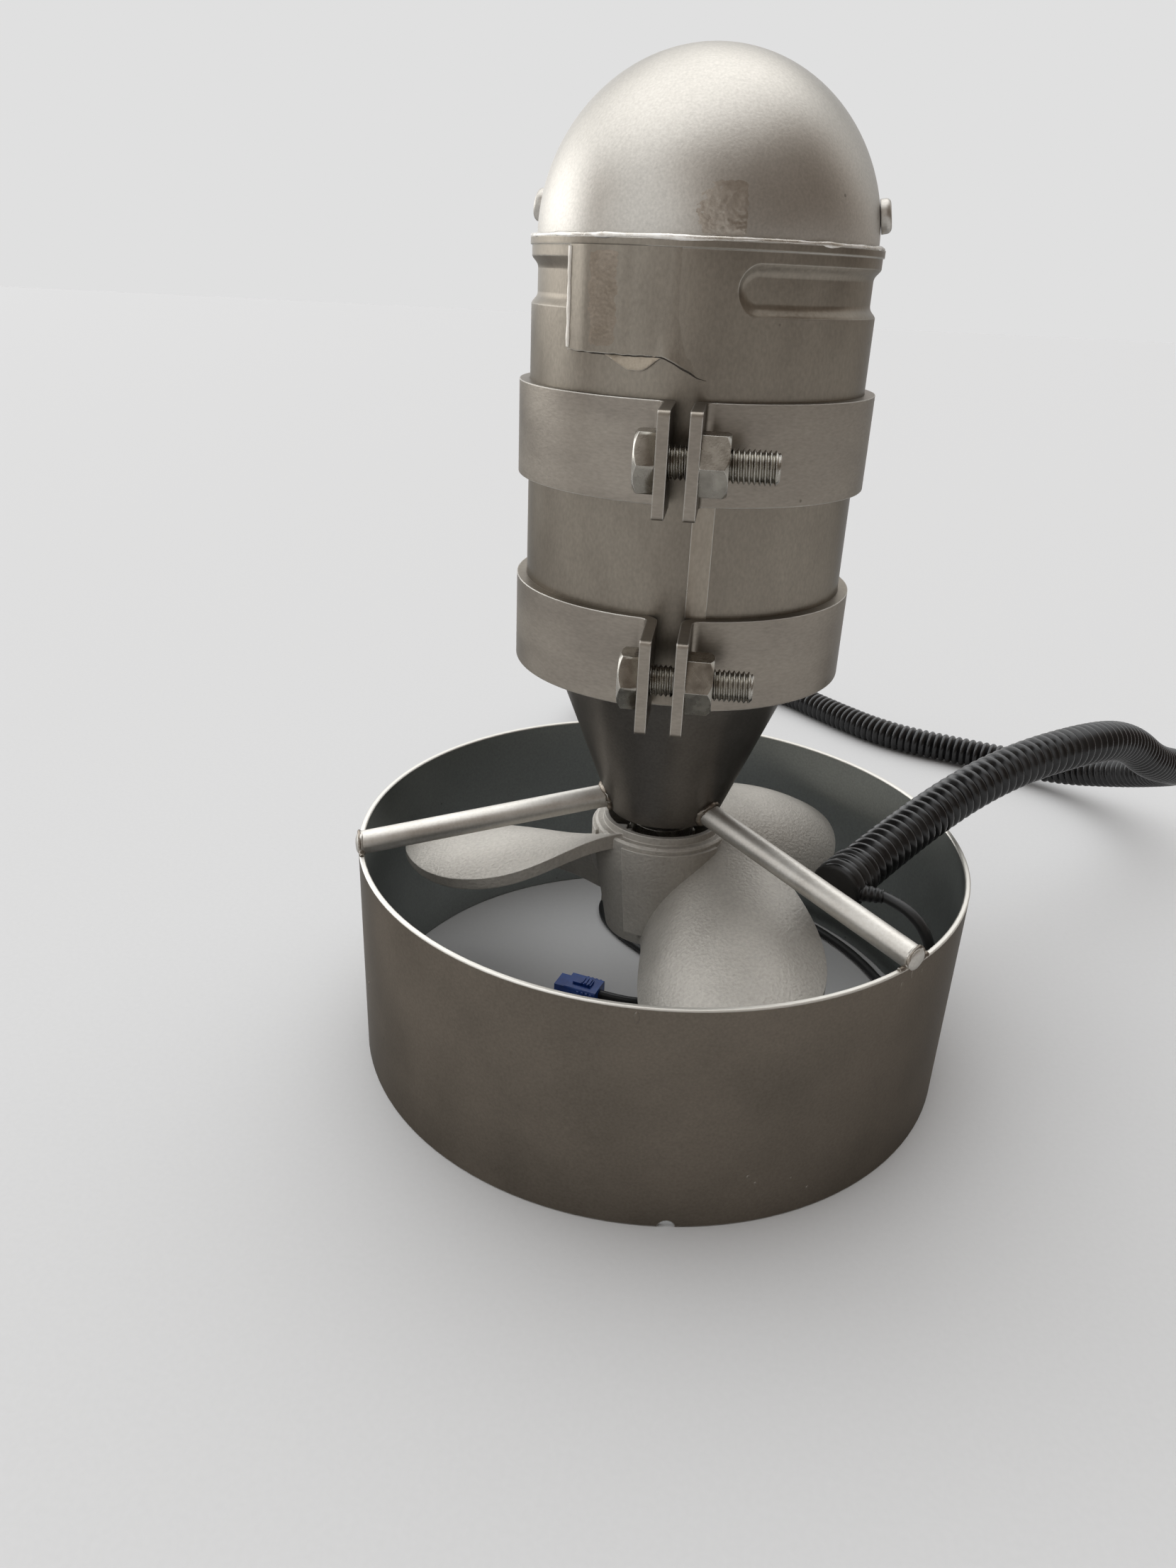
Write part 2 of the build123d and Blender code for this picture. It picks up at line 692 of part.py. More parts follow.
with BuildPart() as blade:
    for step in range(blade_section_count):
        radius = blade_start + (tip_radius + 2 * margin - blade_start) * step / (blade_section_count - 1)
        along = max(0.0, (radius - hub_radius) / blade_span)
        half = blade_width * (blade_root_share + (blade_full_share - blade_root_share) * min(1, 2 * along))
        thickness = blade_root_thickness + (blade_tip_thickness - blade_root_thickness) * along
        with BuildSketch(blade_station(radius)):
            with BuildLine():
                back = blade_camber_radius + thickness / 2
                face = blade_camber_radius - thickness / 2
                sweep_x = half / blade_camber_radius
                back_end = Vector(back * sweep_x, back * sqrt(1 - sweep_x**2) - blade_camber_radius)
                face_end = Vector(face * sweep_x, face * sqrt(1 - sweep_x**2) - blade_camber_radius)
                ThreePointArc((-back_end.X, back_end.Y), (0, thickness / 2), (back_end.X, back_end.Y))
                Line((back_end.X, back_end.Y), (face_end.X, face_end.Y))
                ThreePointArc((face_end.X, face_end.Y), (0, -thickness / 2), (-face_end.X, face_end.Y))
                Line((-face_end.X, face_end.Y), (-back_end.X, back_end.Y))
            make_face()
    loft()
    # The outline: shares of the blade's span outwards and of its width across
    outline = (
        (-0.16, 0.26), (0.06, 0.38), (0.30, 0.455), (0.58, 0.42), (0.81, 0.27), (0.955, 0.04),
        (1.0, -0.22), (0.90, -0.43), (0.73, -0.545), (0.52, -0.55), (0.28, -0.47), (0.06, -0.34), (-0.16, -0.22),
    )
    with BuildSketch():
        with BuildLine():
            rim = Spline(*[(hub_radius + u * blade_span, v * blade_width) for u, v in outline])
            Line(rim @ 1, rim @ 0)
        make_face()
    extrude(amount=2 * ring_height, mode=Mode.INTERSECT)

# Propeller: the hub with its lip, the blades, the open bore, the boss and its ribs
with BuildPart() as propeller:
    with BuildSketch(radial_plane(0)):
        with BuildLine():
            Polyline(
                (0, hub_bottom),
                (hub_tail_radius, hub_bottom),
                (hub_radius, hub_taper_top),
                (hub_radius, hub_top - hub_edge_break),
                (hub_radius - hub_edge_break, hub_top),
                (hub_radius - hub_wall + hub_lip_width, hub_top),
                (hub_radius - hub_wall + hub_lip_width, hub_top + hub_lip_height),
                (0, hub_top + hub_lip_height),
                close=True,
            )
        make_face()
    revolve(axis=Axis.Z)
    with PolarLocations(0, blade_count, start_angle=blade_angle):
        add(blade.part)
    with BuildSketch(radial_plane(0)):
        with BuildLine():
            Polyline(
                (0, hub_bottom - margin),
                (hub_tail_radius - hub_wall, hub_bottom - margin),
                (hub_tail_radius - hub_wall, hub_bottom),
                (hub_radius - hub_wall, hub_taper_top),
                (hub_radius - hub_wall, hub_top + hub_lip_height + margin),
                (0, hub_top + hub_lip_height + margin),
                close=True,
            )
        make_face()
    revolve(axis=Axis.Z, mode=Mode.SUBTRACT)
    with BuildSketch(Plane.XY.offset(boss_bottom)):
        Circle(boss_radius)
        with PolarLocations((boss_radius + hub_radius - hub_wall) / 2, rib_count, start_angle=blade_angle):
            Rectangle(hub_radius - hub_wall - boss_radius + 2 * margin, rib_thickness)
    extrude(amount=boss_top - boss_bottom)
    with BuildSketch(Plane.XY.offset(boss_bottom)):
        Circle(bush_radius)
    extrude(amount=boss_top - boss_bottom, mode=Mode.SUBTRACT)
    with BuildSketch(Plane.XY.offset(drive_pin_height - drive_pin_diameter / 2)):
        Rectangle(2 * boss_radius + margin, drive_pin_diameter)
    extrude(amount=boss_top - drive_pin_height + drive_pin_diameter / 2, mode=Mode.SUBTRACT)
save(propeller.part, "propeller")

# Rubber hub bush and its metal sleeve, slotted for the drive pin
for name, outer, inner in (
    ("hub_bush", bush_radius, sleeve_radius),
    ("bush_sleeve", sleeve_radius, prop_shaft_radius),
):
    with BuildPart() as bush:
        with BuildSketch(Plane.XY.offset(boss_bottom)):
            Circle(outer)
            Circle(inner, mode=Mode.SUBTRACT)
        extrude(amount=boss_top - boss_bottom)
        with BuildSketch(Plane.XY.offset(drive_pin_height - drive_pin_diameter / 2)):
            Rectangle(2 * boss_radius, drive_pin_diameter)
        extrude(amount=boss_top - drive_pin_height + drive_pin_diameter / 2, mode=Mode.SUBTRACT)
    save(bush.part, name)

# Propeller shaft, with a step for the thrust washer and two cross holes
with BuildPart() as propeller_shaft:
    with BuildSketch(Plane.XY.offset(shaft_step_height)):
        Circle(shaft_radius)
    extrude(amount=shaft_top - shaft_step_height)
    with BuildSketch(Plane.XY.offset(shaft_bottom)):
        Circle(prop_shaft_radius)
    extrude(amount=shaft_step_height - shaft_bottom)
    chamfer(propeller_shaft.faces().sort_by(Axis.Z)[0].edges(), shaft_chamfer)
    chamfer(propeller_shaft.faces().sort_by(Axis.Z)[-1].edges(), shaft_chamfer)
    with BuildSketch(Plane.YZ.offset(-shaft_radius)):
        with Locations((0, drive_pin_height)):
            Circle(drive_pin_diameter / 2)
        with Locations((0, split_pin_height)):
            Circle(split_pin_diameter / 2)
    extrude(amount=shaft_diameter, mode=Mode.SUBTRACT)
save(propeller_shaft.part, "propeller_shaft")

with BuildPart() as drive_pin:
    with BuildSketch(Plane.YZ.offset(-drive_pin_length / 2)):
        with Locations((0, drive_pin_height)):
            Circle(drive_pin_diameter / 2)
    extrude(amount=drive_pin_length)
save(drive_pin.part, "drive_pin")

with BuildPart() as thrust_washer:
    with BuildSketch(Plane.XY.offset(boss_top)):
        Circle(washer_radius)
        Circle(prop_shaft_radius, mode=Mode.SUBTRACT)
    extrude(amount=shaft_step_height - boss_top)
    chamfer(thrust_washer.edges().sort_by(Axis.Z)[-2:].sort_by(SortBy.RADIUS)[-1], thrust_washer_chamfer)
save(thrust_washer.part, "thrust_washer")

with BuildPart() as prop_washer:
    with BuildSketch(Plane.XY.offset(boss_bottom - washer_thickness)):
        Circle(washer_radius)
        Circle(prop_shaft_radius, mode=Mode.SUBTRACT)
    extrude(amount=washer_thickness)
save(prop_washer.part, "prop_washer")

with BuildPart() as prop_nut:
    with BuildSketch(Plane.XY.offset(boss_bottom - washer_thickness - prop_nut_height)):
        RegularPolygon(prop_nut_flats / 2, 6, major_radius=False)
        Circle(prop_shaft_radius, mode=Mode.SUBTRACT)
    extrude(amount=prop_nut_height)
save(prop_nut.part, "prop_nut")

with BuildPart() as split_pin:
    with BuildSketch(Plane.YZ.offset(-split_pin_length / 2)):
        with Locations((0, split_pin_height)):
            Circle(split_pin_diameter / 2)
    extrude(amount=split_pin_length)
save(split_pin.part, "split_pin")


def cone_bore(height):
    return cone_inner_end_radius + (height - cone_end_height) * cone_slope


# Seal carrier: a turned plug that fits the cone's end
with BuildPart() as seal_carrier:
    with BuildSketch(radial_plane(0)):
        with BuildLine():
            Polyline(
                (shaft_radius + carrier_shaft_clearance, cone_end_height),
                (cone_bore(cone_end_height), cone_end_height),
                (cone_bore(carrier_top), carrier_top),
                (tail_bearing_radius, carrier_top),
                (tail_bearing_radius, tail_bearing_height),
                (seal_radius, tail_bearing_height),
                (seal_radius, seal_start),
                (shaft_radius + carrier_shaft_clearance, seal_start),
                close=True,
            )
        make_face()
    revolve(axis=Axis.Z)
save(seal_carrier.part, "seal_carrier")

with BuildPart() as shaft_seals:
    for stage in range(seal_count):
        with BuildSketch(Plane.XY.offset(seal_start + stage * (seal_height + seal_gap))):
            Circle(seal_radius)
            Circle(shaft_radius + running_clearance, mode=Mode.SUBTRACT)
        extrude(amount=seal_height)
save(shaft_seals.part, "shaft_seals")

# End plates of the motor, each with a bearing housing that faces the rotor
with BuildPart() as lower_end_plate:
    with BuildSketch(Plane.XY.offset(skirt_top)):
        Circle(pod_bore)
    extrude(amount=end_plate_thickness)
    with BuildSketch(Plane.XY.offset(lower_plate_top)):
        Circle(end_plate_boss_radius)
    extrude(amount=end_plate_boss_height)
    with BuildSketch(Plane.XY.offset(lower_bearing_bottom)):
        Circle(bearing_radius)
    extrude(amount=bearing_width, mode=Mode.SUBTRACT)
    with BuildSketch(Plane.XY.offset(skirt_top)):
        Circle(shaft_radius + end_plate_shaft_clearance)
        with Locations(tie_screw_spots):
            Circle(tie_screw_diameter / 2)
    extrude(amount=end_plate_thickness, mode=Mode.SUBTRACT)
save(lower_end_plate.part, "lower_end_plate")

with BuildPart() as upper_end_plate:
    with BuildSketch(Plane.XY.offset(upper_plate_bottom)):
        Circle(pod_bore)
    extrude(amount=end_plate_thickness)
    with BuildSketch(Plane.XY.offset(upper_plate_bottom - end_plate_boss_height)):
        Circle(end_plate_boss_radius)
    extrude(amount=end_plate_boss_height)
    with BuildSketch(Plane.XY.offset(upper_bearing_bottom)):
        Circle(bearing_radius)
    extrude(amount=bearing_width, mode=Mode.SUBTRACT)
    with BuildSketch(Plane.XY.offset(upper_plate_bottom - end_plate_boss_height)):
        Circle(shaft_radius + end_plate_shaft_clearance)
    extrude(amount=end_plate_boss_height, mode=Mode.SUBTRACT)
    with BuildSketch(Plane.XY.offset(upper_plate_bottom)):
        with Locations(tie_screw_spots):
            Circle(tie_screw_diameter / 2)
    extrude(amount=end_plate_thickness, mode=Mode.SUBTRACT)
save(upper_end_plate.part, "upper_end_plate")

# Bearings: lower, upper and tail, each with two races and a ring of balls
bearings = (
    (lower_bearing_bottom, bearing_radius, bearing_width),
    (upper_bearing_bottom, bearing_radius, bearing_width),
    (tail_bearing_height, tail_bearing_radius, tail_bearing_width),
)
with BuildPart() as outer_races:
    for bottom, radius, width in bearings:
        with BuildSketch(Plane.XY.offset(bottom)):
            Circle(radius)
            Circle(radius - race_thickness, mode=Mode.SUBTRACT)
        extrude(amount=width)
save(outer_races.part, "bearing_outer_races")
with BuildPart() as inner_races:
    for bottom, radius, width in bearings:
        with BuildSketch(Plane.XY.offset(bottom)):
            Circle(shaft_radius + race_thickness)
            Circle(shaft_radius, mode=Mode.SUBTRACT)
        extrude(amount=width)
save(inner_races.part, "bearing_inner_races")
with BuildPart() as bearing_balls:
    for bottom, radius, width in bearings:
        ball_circle = (radius + shaft_radius) / 2
        ball_radius = (radius - shaft_radius) / 2 - race_thickness - running_clearance
        with Locations((0, 0, bottom + width / 2)):
            with PolarLocations(ball_circle, ball_count):
                Sphere(ball_radius)
save(bearing_balls.part, "bearing_balls")

# Stator: a toothed lamination stack, one coil on each tooth
with BuildPart() as stator_core:
    with BuildSketch(Plane.XY.offset(stator_bottom)):
        Circle(pod_bore)
        Circle(yoke_radius, mode=Mode.SUBTRACT)
        with PolarLocations((stator_bore + yoke_radius + margin) / 2, tooth_count):
            Rectangle(yoke_radius + margin - stator_bore, tooth_width)
        with PolarLocations(stator_bore + tooth_tip_height / 2, tooth_count):
            Rectangle(tooth_tip_height, tooth_tip_width)
        Circle(stator_bore, mode=Mode.SUBTRACT)
        with Locations(tie_screw_spots):
            Circle(tie_screw_diameter / 2, mode=Mode.SUBTRACT)
    extrude(amount=stator_height)
save(stator_core.part, "stator_core")

with BuildPart() as stator_windings:
    for tooth in range(tooth_count):
        with BuildSketch(outward_plane(tooth * 360 / tooth_count, coil_inner, stator_bottom + stator_height / 2)):
            RectangleRounded(tooth_width + 2 * coil_build, stator_height + 2 * coil_overhang, coil_build)
            Rectangle(tooth_width + 2 * coil_clearance, stator_height + 2 * coil_clearance, mode=Mode.SUBTRACT)
        extrude(amount=coil_outer - coil_inner)
save(stator_windings.part, "stator_windings")

with BuildPart() as sensor_board:
    with BuildSketch(Plane.XY.offset(sensor_board_bottom)):
        Circle(yoke_radius - sensor_board_clearance)
        Circle(end_plate_boss_radius + sensor_board_clearance, mode=Mode.SUBTRACT)
    extrude(amount=sensor_board_thickness)
save(sensor_board.part, "sensor_board")

# Tie screws clamp the end plates on the stator
with BuildPart() as tie_screws:
    with BuildSketch(Plane.XY.offset(skirt_top + tie_screw_recess)):
        with Locations(tie_screw_spots):
            Circle(tie_screw_diameter / 2)
    extrude(amount=upper_plate_top - skirt_top - tie_screw_recess)
    with BuildSketch(Plane.XY.offset(upper_plate_top)):
        with Locations(tie_screw_spots):
            Circle(tie_screw_head_diameter / 2)
    extrude(amount=tie_screw_head_height)
save(tie_screws.part, "tie_screws")

# Rotor: a solid core with surface magnets
with BuildPart() as rotor_core:
    with BuildSketch(Plane.XY.offset(stator_bottom)):
        Circle(rotor_radius)
        Circle(shaft_radius, mode=Mode.SUBTRACT)
    extrude(amount=stator_height)
save(rotor_core.part, "rotor_core")
with BuildPart() as rotor_magnets:
    for pole in range(magnet_count):
        with BuildSketch(radial_plane(pole * 360 / magnet_count - magnet_arc / 2)):
            with Locations(((rotor_radius + magnet_radius) / 2, stator_bottom + stator_height / 2)):
                Rectangle(magnet_thickness, stator_height)
        revolve(axis=Axis.Z, revolution_arc=magnet_arc)
save(rotor_magnets.part, "rotor_magnets")

# Cable gland on the back of the can, with its seal outside and its nut inside
gland_plane = Plane(origin=(0, 0, gland_height), x_dir=(-1, 0, 0), z_dir=(0, 1, 0))
gland_nut_back = sqrt(pod_bore**2 - (gland_nut_flats / sqrt(3)) ** 2) - gland_nut_clearance
gland_tail_end = gland_nut_back - gland_nut_height - gland_tail
with BuildPart() as cable_gland:
    with BuildSketch(gland_plane.offset(gland_tail_end)):
        Circle(gland_thread_diameter / 2)
    extrude(amount=gland_seal_face - gland_tail_end)
    with BuildSketch(gland_plane.offset(gland_seal_face)):
        RegularPolygon(gland_hex_flats / 2, 6, major_radius=False)
    extrude(amount=gland_hex_height)
    with BuildSketch(gland_plane.offset(gland_seal_face + gland_hex_height)):
        Circle(gland_collar_diameter / 2)
    extrude(amount=gland_collar_length)
    chamfer(cable_gland.faces().sort_by(Axis.Y)[-1].edges(), gland_collar_chamfer)
    with BuildSketch(gland_plane.offset(gland_tail_end)):
        Circle(gland_bore / 2)
    extrude(amount=gland_collar_end - gland_nut_back, mode=Mode.SUBTRACT)
save(cable_gland.part, "cable_gland")

with BuildPart() as gland_nut:
    with BuildSketch(gland_plane.offset(gland_nut_back - gland_nut_height)):
        RegularPolygon(gland_nut_flats / 2, 6, major_radius=False)
        Circle(gland_thread_diameter / 2, mode=Mode.SUBTRACT)
    extrude(amount=gland_nut_height)
save(gland_nut.part, "gland_nut")

with BuildPart() as gland_seal:
    with BuildSketch(gland_plane.offset(pod_radius / 2)):
        Circle(gland_seal_diameter / 2)
        Circle(gland_thread_diameter / 2, mode=Mode.SUBTRACT)
    extrude(amount=gland_seal_face - pod_radius / 2)
    with BuildSketch(Plane.XY.offset(pod_bottom)):
        Circle(pod_radius)
    extrude(amount=pod_top - pod_bottom, mode=Mode.SUBTRACT)
save(gland_seal.part, "gland_seal")

# Three phase leads from the windings to the gland, inside the can
with BuildPart() as phase_leads:
    for lead in (-1, 0, 1):
        with BuildLine() as lead_path:
            FilletPolyline(
                (lead * phase_lead_spacing, phase_lead_radius, coil_bottom),
                (lead * phase_lead_spacing, phase_lead_radius, gland_height),
                (lead * phase_lead_spacing, gland_seal_face, gland_height),
                radius=phase_lead_bend,
            )
        with BuildSketch(Plane(origin=lead_path.wire() @ 0, z_dir=lead_path.wire() % 0)):
            Circle(phase_lead_diameter / 2)
        sweep()
save(phase_leads.part, "phase_leads")


def corner_radii(route):
    """The largest comfortable arc at each inner point of a route."""
    radii = []
    for before, here, after in zip(route, route[1:], route[2:]):
        run_in = Vector(*here) - Vector(*before)
        run_out = Vector(*after) - Vector(*here)
        turn = radians(run_in.get_angle(run_out))
        radii.append(0.45 * min(run_in.length, run_out.length) / tan(turn / 2))
    return radii


# Conduit and sensor lead: round tubes along their routes
for name, route, diameter in (
    ("conduit", conduit_route, conduit_diameter),
    ("sensor_lead", lead_route, sensor_lead_diameter),
):
    with BuildPart() as cord:
        with BuildLine() as cord_path:
            FilletPolyline(*route, radius=corner_radii(route))
        with BuildSketch(Plane(origin=cord_path.wire() @ 0, z_dir=cord_path.wire() % 0)):
            Circle(diameter / 2)
        sweep()
    cord_length = cord_path.wire().length
    print(name, "length", round(cord_length, 1), "least radius", round(min(corner_radii(route)), 1))
    print(name, "volume share", round(cord.part.volume / (cord_length * pi * diameter**2 / 4), 4))
    save(cord.part, name)

# Boot: a socket on the conduit's end, closed, with a nozzle to one side for the lead
conduit_end = Vector(*conduit_route[-1])
conduit_heading = (conduit_end - Vector(*conduit_route[-2])).normalized()
lead_start = Vector(*lead_route[0])
lead_heading = (Vector(*lead_route[1]) - lead_start).normalized()
socket_plane = Plane(origin=conduit_end - conduit_heading * boot_socket, z_dir=conduit_heading)
nozzle_length = (lead_start - conduit_end).dot(lead_heading)
with BuildPart() as conduit_boot:
    with BuildSketch(socket_plane):
        Circle(boot_radius)
    extrude(amount=boot_socket + boot_wall)
    fillet(conduit_boot.edges().sort_by(lambda edge: (edge.center() - conduit_end).dot(conduit_heading))[-1], boot_wall)
    with BuildSketch(Plane(origin=lead_start, z_dir=-lead_heading)):
        Circle(boot_nozzle_diameter / 2)
    extrude(amount=nozzle_length)
    with BuildSketch(socket_plane):
        Circle(conduit_diameter / 2)
    extrude(amount=boot_socket, mode=Mode.SUBTRACT)
save(conduit_boot.part, "conduit_boot")

# Connector: a moulded block on the lead's end, with a narrower mating nose
lead_end = Vector(*lead_route[-1])
connector_heading = lead_end - Vector(*lead_route[-2])
connector_plane = Plane(
    origin=(lead_end.X, lead_end.Y, connector_height / 2),
    x_dir=(-connector_heading.Y, connector_heading.X, 0),
    z_dir=(connector_heading.X, connector_heading.Y, 0),
)
with BuildPart() as lead_connector:
    with BuildSketch(connector_plane):
        RectangleRounded(connector_width, connector_height, connector_edge)
    extrude(amount=connector_length - connector_nose_length)
    with BuildSketch(connector_plane.offset(connector_length - connector_nose_length)):
        Rectangle(connector_nose_width, connector_nose_height)
    extrude(amount=connector_nose_length)
save(lead_connector.part, "lead_connector")
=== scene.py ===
"""Looks of the underwater thruster: a silver-painted motor pod on a duct ring, with a cast
propeller and a corrugated conduit.  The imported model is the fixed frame; this script gives it
its finishes and the fine forms that are not in it.  Metres, +Z up, clamp ears along -Y."""

import math

import bpy
import numpy as np
from mathutils import Matrix, Vector, noise


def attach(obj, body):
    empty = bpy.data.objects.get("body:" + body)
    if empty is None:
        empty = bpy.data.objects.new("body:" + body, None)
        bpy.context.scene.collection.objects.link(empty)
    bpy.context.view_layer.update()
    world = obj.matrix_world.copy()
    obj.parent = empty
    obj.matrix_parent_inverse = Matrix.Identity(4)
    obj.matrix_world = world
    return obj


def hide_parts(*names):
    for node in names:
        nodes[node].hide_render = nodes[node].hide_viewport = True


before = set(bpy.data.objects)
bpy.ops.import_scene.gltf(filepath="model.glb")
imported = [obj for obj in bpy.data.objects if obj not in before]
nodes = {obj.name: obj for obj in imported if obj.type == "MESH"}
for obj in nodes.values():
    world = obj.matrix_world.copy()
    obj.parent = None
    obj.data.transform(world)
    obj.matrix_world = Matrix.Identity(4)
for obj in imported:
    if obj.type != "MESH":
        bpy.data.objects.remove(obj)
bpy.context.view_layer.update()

# The camera of the photograph: a phone's wide lens, held 0.3 m above the floor and looking
# down.  It is settled first, because it decides how much of the cords may show.
camera_spot = (0.0166, -0.3968, 0.2938)
camera_turn = math.radians(6.795)
camera_pitch = math.radians(25.04)
camera_roll = math.radians(2.515)
camera_data = bpy.data.cameras.new("photo_camera")
camera_data.sensor_width = 36.0
camera_data.lens = 25.292
camera_data.clip_start = 0.01
camera_data.clip_end = 50.0
camera = bpy.data.objects.new("photo_camera", camera_data)
bpy.context.scene.collection.objects.link(camera)
camera.matrix_world = (
    Matrix.Translation(camera_spot)
    @ Matrix.Rotation(camera_turn, 4, "Z")
    @ Matrix.Rotation(math.pi / 2 - camera_pitch, 4, "X")
    @ Matrix.Rotation(camera_roll, 4, "Z")
)
bpy.context.scene.camera = camera


# Corrugated conduit: split-free nylon tube, blown into ribs on a running mould, black and
# glossy.  It leaves the gland behind the pod, drops to the floor, runs round to the right and
# climbs back over the ring's edge.
def linear(hex_colour):
    """An sRGB hex colour as the linear colour that shaders take."""
    channels = [int(hex_colour[i : i + 2], 16) / 255 for i in (1, 3, 5)]
    return tuple(c / 12.92 if c <= 0.04045 else ((c + 0.055) / 1.055) ** 2.4 for c in channels) + (1.0,)


def add_node(material, kind, settings={}, links={}):
    """Adds one shader node.  Settings are its properties or input values, links feed its inputs.
    A colour mix takes its share at input 0 and its two colours at inputs 6 and 7."""
    shader_node = material.node_tree.nodes.new(kind)
    for name, value in settings.items():
        if isinstance(name, int) or name in shader_node.inputs:
            shader_node.inputs[name].default_value = value
        elif name == "stops":
            ramp = shader_node.color_ramp
            while len(ramp.elements) < len(value):
                ramp.elements.new(0.5)
            for element, (place, colour) in zip(ramp.elements, value):
                element.position = place
                element.color = linear(colour)
        else:
            setattr(shader_node, name, value)
    for name, socket in links.items():
        material.node_tree.links.new(socket, shader_node.inputs[name])
    return shader_node


def new_material(name):
    """A material with an empty node tree."""
    material = bpy.data.materials.new(name)
    material.use_nodes = True
    material.node_tree.nodes.clear()
    return material


def add_piece(name, vertices, faces, material, body="housing", slot=None, smooth=True):
    """A mesh object in the shared frame, with its finish, riding on a body."""
    sharp_turn = math.radians(48)
    mesh = bpy.data.meshes.new(name)
    mesh.from_pydata([tuple(v) for v in vertices], [], faces)
    mesh.validate()
    mesh.polygons.foreach_set("use_smooth", [smooth] * len(mesh.polygons))
    mesh.set_sharp_from_angle(angle=sharp_turn)
    mesh.materials.append(material)
    piece = bpy.data.objects.new(name, mesh)
    bpy.context.scene.collection.objects.link(piece)
    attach(piece, body)
    return piece


def route_curve(name, points):
    """A curve of one open NURBS spline with these control points."""
    curve = bpy.data.curves.new(name, "CURVE")
    curve.dimensions = "3D"
    curve.resolution_u = 24
    spline = curve.splines.new("NURBS")
    spline.points.add(len(points) - 1)
    for control, point in zip(spline.points, points):
        control.co = (*point, 1.0)
    spline.order_u = 3
    spline.use_endpoint_u = True
    return curve


def route_line(name, points, spacing):
    """Points evenly spaced along the route's NURBS spline, read from the curve itself."""
    carrier = bpy.data.objects.new(name, route_curve(name, points))
    bpy.context.scene.collection.objects.link(carrier)
    line = bpy.data.meshes.new_from_object(carrier)
    places = np.array([v.co for v in line.vertices])
    bpy.data.objects.remove(carrier)
    bpy.data.meshes.remove(line)
    runs = np.concatenate([[0.0], np.cumsum(np.linalg.norm(np.diff(places, axis=0), axis=1))])
    count = int(runs[-1] / spacing) + 1
    along = np.linspace(0.0, runs[-1], count)
    return np.stack([np.interp(along, runs, places[:, i]) for i in range(3)], axis=1)


def grid_faces(rows, columns, closed=False):
    """Quads over points laid row by row; closed joins each row's last point to its first."""
    spans = columns if closed else columns - 1
    faces = []
    for row in range(rows - 1):
        for column in range(spans):
            here = row * columns + column
            beside = row * columns + (column + 1) % columns
            faces.append((here, beside, beside + columns, here + columns))
    return faces


def turned_over(faces, offset=0):
    """The same faces looking the other way, counted on from an offset."""
    return [tuple(offset + i for i in reversed(face)) for face in faces]


def swept_tube(line, radii, segments):
    """Vertices and faces of a tube along a line of points, with one radius at each."""
    tangents = np.gradient(line, axis=0)
    tangents /= np.linalg.norm(tangents, axis=1)[:, None]
    nearly_upright = abs(tangents[0][2]) >= 0.9
    side = np.cross(tangents[0], (1.0, 0.0, 0.0) if nearly_upright else (0.0, 0.0, 1.0))
    side /= np.linalg.norm(side)
    vertices = []
    turn = np.linspace(0.0, 2 * math.pi, segments, endpoint=False)
    for point, tangent, radius in zip(line, tangents, radii):
        side = side - tangent * (side @ tangent)
        side /= np.linalg.norm(side)
        up = np.cross(tangent, side)
        ring = point + radius * (np.cos(turn)[:, None] * side + np.sin(turn)[:, None] * up)
        vertices.extend(ring)
    faces = grid_faces(len(line), segments, closed=True)
    faces.append(tuple(reversed(range(segments))))
    faces.append(tuple(range(len(vertices) - segments, len(vertices))))
    return vertices, faces


conduit_diameter = 0.0185
conduit_rib_pitch = 0.0045
conduit_rib_depth = 0.0017
conduit_steps_per_rib = 12
conduit_route = [
    (0.0, 0.0815, 0.2135),
    (0.0, 0.132, 0.2135),
    (-0.006, 0.181, 0.200),
    (-0.018, 0.221, 0.168),
    (-0.033, 0.250, 0.128),
    (-0.048, 0.276, 0.086),
    (-0.066, 0.306, 0.048),
    (-0.075, 0.349, 0.026),
    (-0.063, 0.392, 0.014),
    (-0.028, 0.424, 0.0093),
    (0.019, 0.432, 0.0093),
    (0.063, 0.412, 0.0093),
    (0.098, 0.371, 0.0093),
    (0.137, 0.332, 0.0093),
    (0.190, 0.313, 0.0093),
    (0.238, 0.287, 0.013),
    (0.266, 0.252, 0.030),
    (0.274, 0.212, 0.050),
    (0.262, 0.173, 0.068),
    (0.235, 0.140, 0.082),
    (0.211, 0.114, 0.1025),
    (0.183, 0.080, 0.1135),
    (0.139, 0.047, 0.1105),
    (0.099, 0.010, 0.098),
    (0.067, -0.0375, 0.0925),
]


